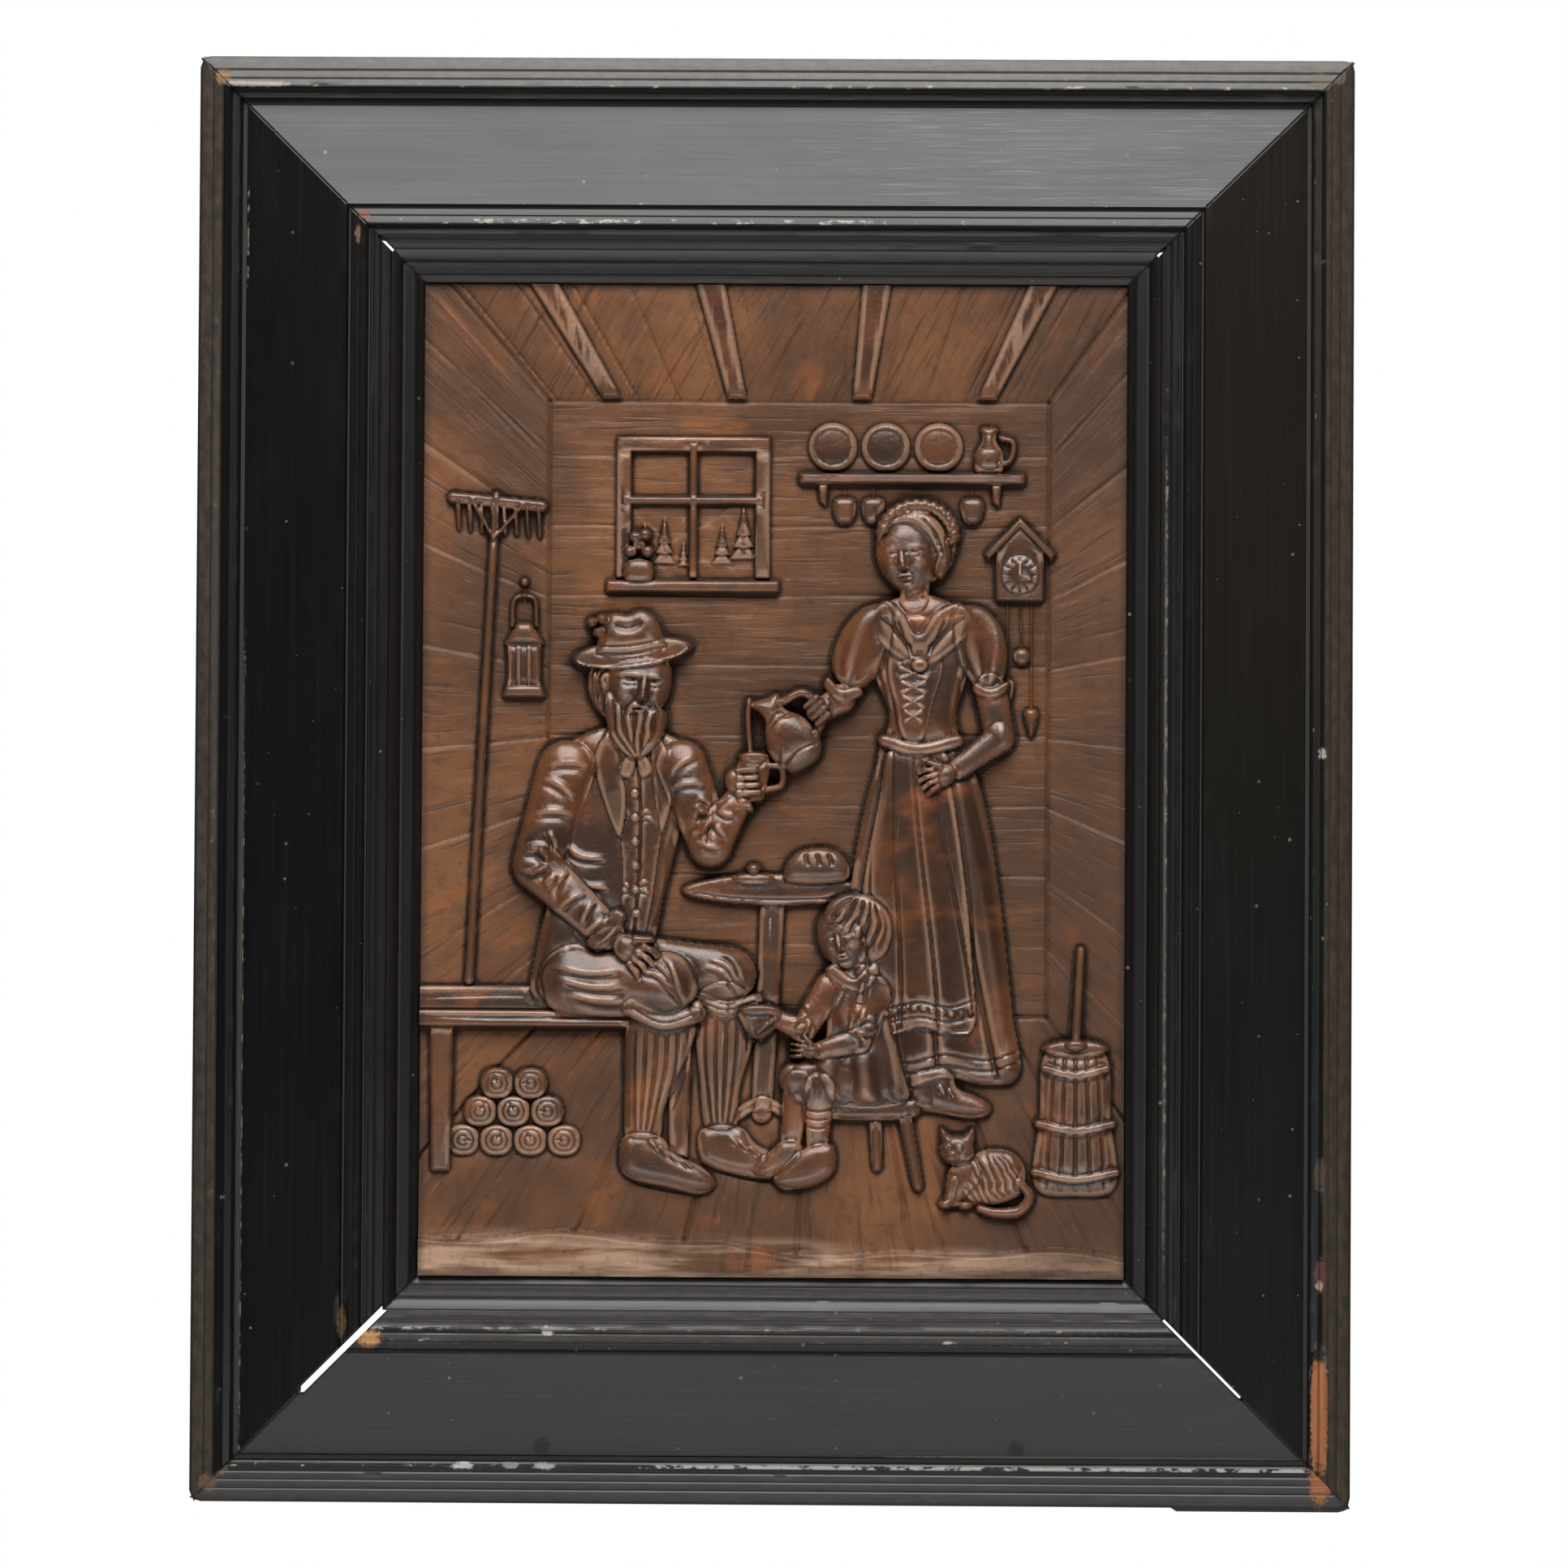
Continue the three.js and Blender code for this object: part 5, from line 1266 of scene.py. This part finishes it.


# patinated casting: warm brown in cloudy patches, with painted highlights where proud and on fold crests,
# and painted shade in the hollows
def brownCasting():
    f = Finish("brown_metal")
    place = f.place()
    across = f.node("ShaderNodeSeparateXYZ", values={0: place}, out="X")
    upward = f.node("ShaderNodeSeparateXYZ", values={0: place}, out="Z") - relief["centreZ"] / 1000
    hollowShade, proudHighlight, crestHighlight, figure, front = (
        f.node("ShaderNodeAttribute", {"attribute_name": name}, out="Fac")
        for name in ("hollowShade", "proudHighlight", "crestHighlight", "figure", "front"))
    uv = f.node("ShaderNodeUVMap", {"uv_map": "grain"})
    broad = f.noise(place, 11, 3, 0.6)
    cloud = f.noise(f.stretch(uv, 16, 60, 1), 1.0, 4, 0.65)
    warm = f.noise(f.stretch(uv, 22, 46, 7), 1.0, 3, 0.6)
    tint = f.noise(place, 31, 3, 0.6)
    patches = f.noise(place, 95, 4, 0.65)
    spots = f.noise(place, 260, 3, 0.6)
    tooling = f.noise(place, 520, 3, 0.6)
    grain = f.noise(f.stretch(uv, 45, 900, 1), 1.0, 3, 0.6)
    cuts = f.noise(f.stretch(uv, 26, 420, 1), 1.0, 2, 0.5, 0.3)
    scores = f.noise(f.stretch(uv, 60, 760, 1), 1.0, 3, 0.6, 0.4)
    wall = f.mix(broad.step(0.35, 0.65), rgb(78, 48, 26), rgb(113, 71, 40))
    wall = f.mix(cloud.step(0.5, 0.75) * 0.6, wall, rgb(68, 44, 29))
    wall = f.mix(warm.step(0.56, 0.76) * 0.65, wall, rgb(138, 78, 34))
    wall = f.mix(patches.step(0.5, 0.75) * 0.45, wall, rgb(55, 36, 24))
    wall = f.mix(cuts.step(0.54, 0.7) * 0.55, wall, rgb(44, 27, 17))
    wall = f.mix(scores.step(0.6, 0.74) * 0.4, wall, rgb(136, 96, 66))
    # darker towards the right side
    wall = f.mix(across.step(0.03, 0.15) * 0.5, wall, rgb(58, 37, 24))
    ledge = (upward + across * 0.033 + broad * 0.012).step(-0.183, -0.192)
    rubbed = f.noise(f.stretch(place, 17, 17, 150), 1.0, 3, 0.6).step(0.34, 0.6)
    rubbed = rubbed * (1 - across.step(0.05, 0.14) * 0.6)
    wall = f.mix(ledge * front * rubbed * 0.75, wall, rgb(178, 146, 122))
    form = f.mix(tint.step(0.4, 0.65), rgb(54, 34, 22), rgb(93, 54, 30))
    form = f.mix(warm.step(0.52, 0.72) * 0.6, form, rgb(134, 72, 32))
    form = f.mix(patches.step(0.5, 0.7) * 0.5, form, rgb(42, 27, 19))
    # painted highlights: paler on proud parts and on fold crests
    form = f.mix(proudHighlight.step(0.1, 0.55) * 0.3, form, rgb(124, 86, 62))
    form = f.mix(crestHighlight.step(0.06, 0.45) * 0.5, form, rgb(170, 134, 110))
    base = f.mix(figure, wall, form)
    base = f.mix(spots.step(0.52, 0.75) * 0.35, base, rgb(44, 30, 21))
    # painted shade in the hollows and in a band round the raised forms
    base = f.mix(hollowShade.step(0.06, 0.9) * (0.45 + patches * 0.75), base, rgb(26, 16, 10))
    behind = f.mix(broad.step(0.35, 0.65), rgb(50, 37, 29), rgb(68, 49, 38))
    base = f.mix(front.step(0.2, 0.8), behind, base)
    # darker within a few millimetres of the panel's edges, under the frame's lip
    sightX, sightZ = (half / 1000 for half in relief["half"])
    sides = (sightX + 0.0004 - abs(across)).least(sightZ + 0.0002 - abs(upward))
    base = f.mix(sides.step(0.0045, 0.0002) * 0.6, base, rgb(24, 16, 11))
    rough = 0.42 - figure * 0.14 + spots * 0.16 + hollowShade.step(0.1, 0.8) * 0.25
    lines = (front - figure) * (cuts.step(0.54, 0.7) * -0.4 + grain * 0.4 + scores * 0.3)
    lines = lines + spots * 0.4 + tooling * (0.25 + figure * 0.3) + tint * 0.4
    bump = f.bump(lines, 0.5, 0.0006)
    return f.set(Base_Color=base, Roughness=rough, Metallic=0.15, Specular_IOR_Level=0.36,
                 Coat_Weight=figure * 0.4, Coat_Roughness=0.24, Normal=bump)


# Pieces

bareWood, tanWood, darkSpot = (160, 98, 56), (146, 110, 74), (22, 18, 15)
usualWear = {"smoother": 0.0, "outline": 0.8, "streaks": 400}
# edges: place across, width, how much more is rubbed between two places along; spots as in losses, with a
# colour and an amount, some of them painted highlights
wears = {
    "top": {
        "seed": 1.0, "rough": 0.36, "smoother": 0.07, "rimTo": 12.9, "outline": 0.0, "streaks": -30,
        "dust": 0.86,
        "rubbed": (176, 168, 158), "rim": (52, 47, 42), "rimLight": (74, 66, 58),
        "faceStart": (7, 7, 7), "faceEnd": (9, 8, 8), "inner": (14, 10, 6), "innerRed": (17, 11, 7),
        "edges": ((12.2, 1.0, 0.03, -230, 220), (68.9, 1.5, 0.08, -150, 40), (61.6, 0.6, -0.02, -160, 200)),
        "spots": ((-230, 8.5, 3.2, 3.0, tanWood, 0.8), (-216, 11.6, 13, 1.3, (178, 172, 164), 0.7),
                  (226, 9, 5, 3.4, (120, 108, 92), 0.6), (-171, 66, 2.4, 2.0, (150, 92, 74), 0.8)),
    },
    "right": {
        "seed": 2.0, "rough": 0.25, "rimTo": 12.0, "dust": 0.7,
        "rubbed": (120, 104, 88), "rim": (50, 43, 35), "rimLight": (66, 56, 47),
        "faceStart": (20, 15, 9), "faceEnd": (10, 11, 7), "inner": (8, 8, 7), "innerRed": (14, 10, 9),
        "edges": ((77.3, 0.8, 0.1, -130, 190), (16.4, 1.2, -0.05, 150, 290), (4.6, 2.0, -0.06, -290, 290)),
        "spots": ((261, 12.8, 24, 3.4, bareWood, 1.0), (237, 12.6, 2.6, 2.4, darkSpot, 1.0),
                  (204, 12.6, 7, 2.6, (92, 52, 44), 0.8), (208, 13, 2.2, 1.4, (176, 140, 128), 0.8),
                  (162, 12.8, 7, 2.4, (74, 56, 42), 0.8), (35, 77.6, 165, 0.7, (80, 80, 76), 0.5),
                  (-12, 12.6, 2.4, 1.6, (170, 164, 150), 0.9), (-293, 7, 3.5, 3.0, (96, 84, 66), 0.7)),
    },
    "bottom": {
        "seed": 3.0, "rough": 0.34, "rimTo": 12.9, "dust": 0.82,
        "rubbed": (176, 174, 166), "rim": (27, 24, 22), "rimLight": (39, 35, 32),
        "faceStart": (12, 11, 11), "faceEnd": (10, 10, 10), "inner": (28, 25, 23), "innerRed": (44, 35, 32),
        # the pale rubbed line at 15.4 across is wear and also a painted reflection of the light above
        "edges": ((15.4, 1.15, 0.17, -225, 48), (15.4, 1.0, 0.04, 100, 225), (71.9, 1.3, 0.12, 60, 165),
                  (71.9, 1.1, 0.05, -160, 60), (67.6, 0.9, 0.0, -150, 160)),
        # the pale spots at 15.4 to 15.6 across are wear and also a painted reflection; the pale strip at
        # 19.9 across is a painted highlight along the face's edge
        "spots": ((166.5, 67.5, 5.5, 4.0, (206, 156, 98), 1.0), (232, 8, 3.5, 3.5, (120, 90, 56), 0.6),
                  (227, 13, 3, 2, tanWood, 0.5), (93, 15.4, 4.4, 1.6, (190, 188, 180), 0.7),
                  (127, 15.4, 4.4, 1.6, (210, 208, 202), 0.8), (107, 15.6, 3.4, 1.4, (180, 178, 170), 0.6),
                  (94, 23.2, 3.8, 4.2, darkSpot, 0.75), (-102, 23.2, 3.6, 4.2, darkSpot, 0.7),
                  (92, 71.6, 2.6, 2.0, (190, 186, 178), 0.8), (0, 71.9, 150, 0.9, (112, 108, 103), 0.5),
                  (-140, 19.9, 90, 0.5, (110, 108, 104), 0.5), (-227.5, 11, 4.4, 9.5, bareWood, 0.95),
                  (-215, 66, 4, 2, (120, 84, 52), 0.5), (0, 64.4, 190, 2.2, (7, 8, 6), 0.8)),
    },
    "left": {
        "seed": 4.0, "rough": 0.23, "rimTo": 10.2, "dust": 0.74,
        "rubbed": (112, 102, 90), "rim": (54, 47, 41), "rimLight": (72, 63, 55),
        "faceStart": (4, 4, 5), "faceEnd": (6, 6, 5), "inner": (13, 11, 9), "innerRed": (19, 14, 12),
        "edges": ((20.0, 0.7, 0.14, 205, 245), (20.0, 0.7, 0.1, -290, 60), (7.6, 2.4, -0.03, -290, 290)),
        "spots": ((-226, 63, 7, 1.8, (110, 78, 44), 0.6), (-120, 19.6, 175, 0.6, (88, 80, 66), 0.55),
                  (-292, 7.5, 3.5, 3.5, (118, 88, 54), 0.55), (291, 9, 3, 3, tanWood, 0.8),
                  (226, 66.4, 4, 1.2, (132, 96, 78), 0.7), (80, 8, 90, 1.2, (74, 60, 46), 0.4)),
    },
}


for side in rails:
    rail = makeRail(side)
    rail.data.materials.append(blackWood(side, {**usualWear, **wears[side]}))
    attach(rail, "root")
    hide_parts("frame_rail_" + side)

casting = makeRelief()
casting.data.materials.append(brownCasting())
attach(casting, "root")
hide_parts("relief_panel")


# Studio: a broad soft light above and in front, a weak one below, white behind

studio = {"floor": -1.15, "floorSize": 4.0, "centre": (0.0, 0.0, -0.256)}
lamps = {      # place, width and height, power
    "above": ((0.0, -1.35, 1.15), (1.5, 1.25), 57),
    "below": ((0.0, -1.6, -1.05), (1.6, 0.5), 11),
    "behind": ((0.5, 1.8, 0.6), (1.6, 1.6), 30),
}
view = {"distance": 3.2, "lens": 176.0, "azimuth": 0.8, "elevation": -1.7, "roll": -0.34,
        "shift": (0.0065, -0.0017)}


def areaLight(name, at, size, power):
    lamp = bpy.data.lights.new(name, "AREA")
    lamp.shape = "RECTANGLE"
    lamp.size, lamp.size_y = size
    lamp.energy = power
    made = bpy.data.objects.new(name, lamp)
    made.location = at
    made.rotation_euler = (Vector(studio["centre"]) - Vector(at)).to_track_quat("-Z", "Y").to_euler()
    bpy.context.scene.collection.objects.link(made)


for name, (at, size, power) in lamps.items():
    areaLight(name, at, size, power)
print("lit")

world = bpy.data.worlds.new("studio")
bpy.context.scene.world = world
world.use_nodes = True
tree = world.node_tree
seen = tree.nodes["Background"]
seen.inputs["Color"].default_value = (1, 1, 1, 1)
seen.inputs["Strength"].default_value = 1.0
lit = tree.nodes.new("ShaderNodeBackground")
lit.inputs["Color"].default_value = (0.035, 0.035, 0.035, 1)
rays = tree.nodes.new("ShaderNodeLightPath")
choose = tree.nodes.new("ShaderNodeMixShader")
tree.links.new(rays.outputs["Is Camera Ray"], choose.inputs[0])
tree.links.new(lit.outputs[0], choose.inputs[1])
tree.links.new(seen.outputs[0], choose.inputs[2])
tree.links.new(choose.outputs[0], tree.nodes["World Output"].inputs["Surface"])

bm = bmesh.new()
bmesh.ops.create_grid(bm, x_segments=1, y_segments=1, size=studio["floorSize"] / 2,
                      matrix=Matrix.Translation((0, 0, studio["floor"])))
floor = toObject(bm, "floor")
paper = Finish("paper")
floor.data.materials.append(paper.set(Base_Color=rgb(232, 231, 228), Roughness=0.8))

camera = bpy.data.objects.new("camera", bpy.data.cameras.new("camera"))
bpy.context.scene.collection.objects.link(camera)
camera.data.lens = view["lens"]
camera.data.sensor_width = 36
camera.data.clip_end = 50
camera.data.shift_x, camera.data.shift_y = view["shift"]
across, up = math.radians(view["azimuth"]), math.radians(view["elevation"])
back = Vector((math.sin(across) * math.cos(up), -math.cos(across) * math.cos(up), math.sin(up)))
camera.location = Vector(studio["centre"]) + back * view["distance"]
facing = (-back).to_track_quat("-Z", "Y").to_matrix()
camera.rotation_euler = (facing @ Matrix.Rotation(math.radians(-view["roll"]), 3, "Z")).to_euler()
bpy.context.scene.camera = camera
bpy.context.scene.view_settings.view_transform = "Standard"
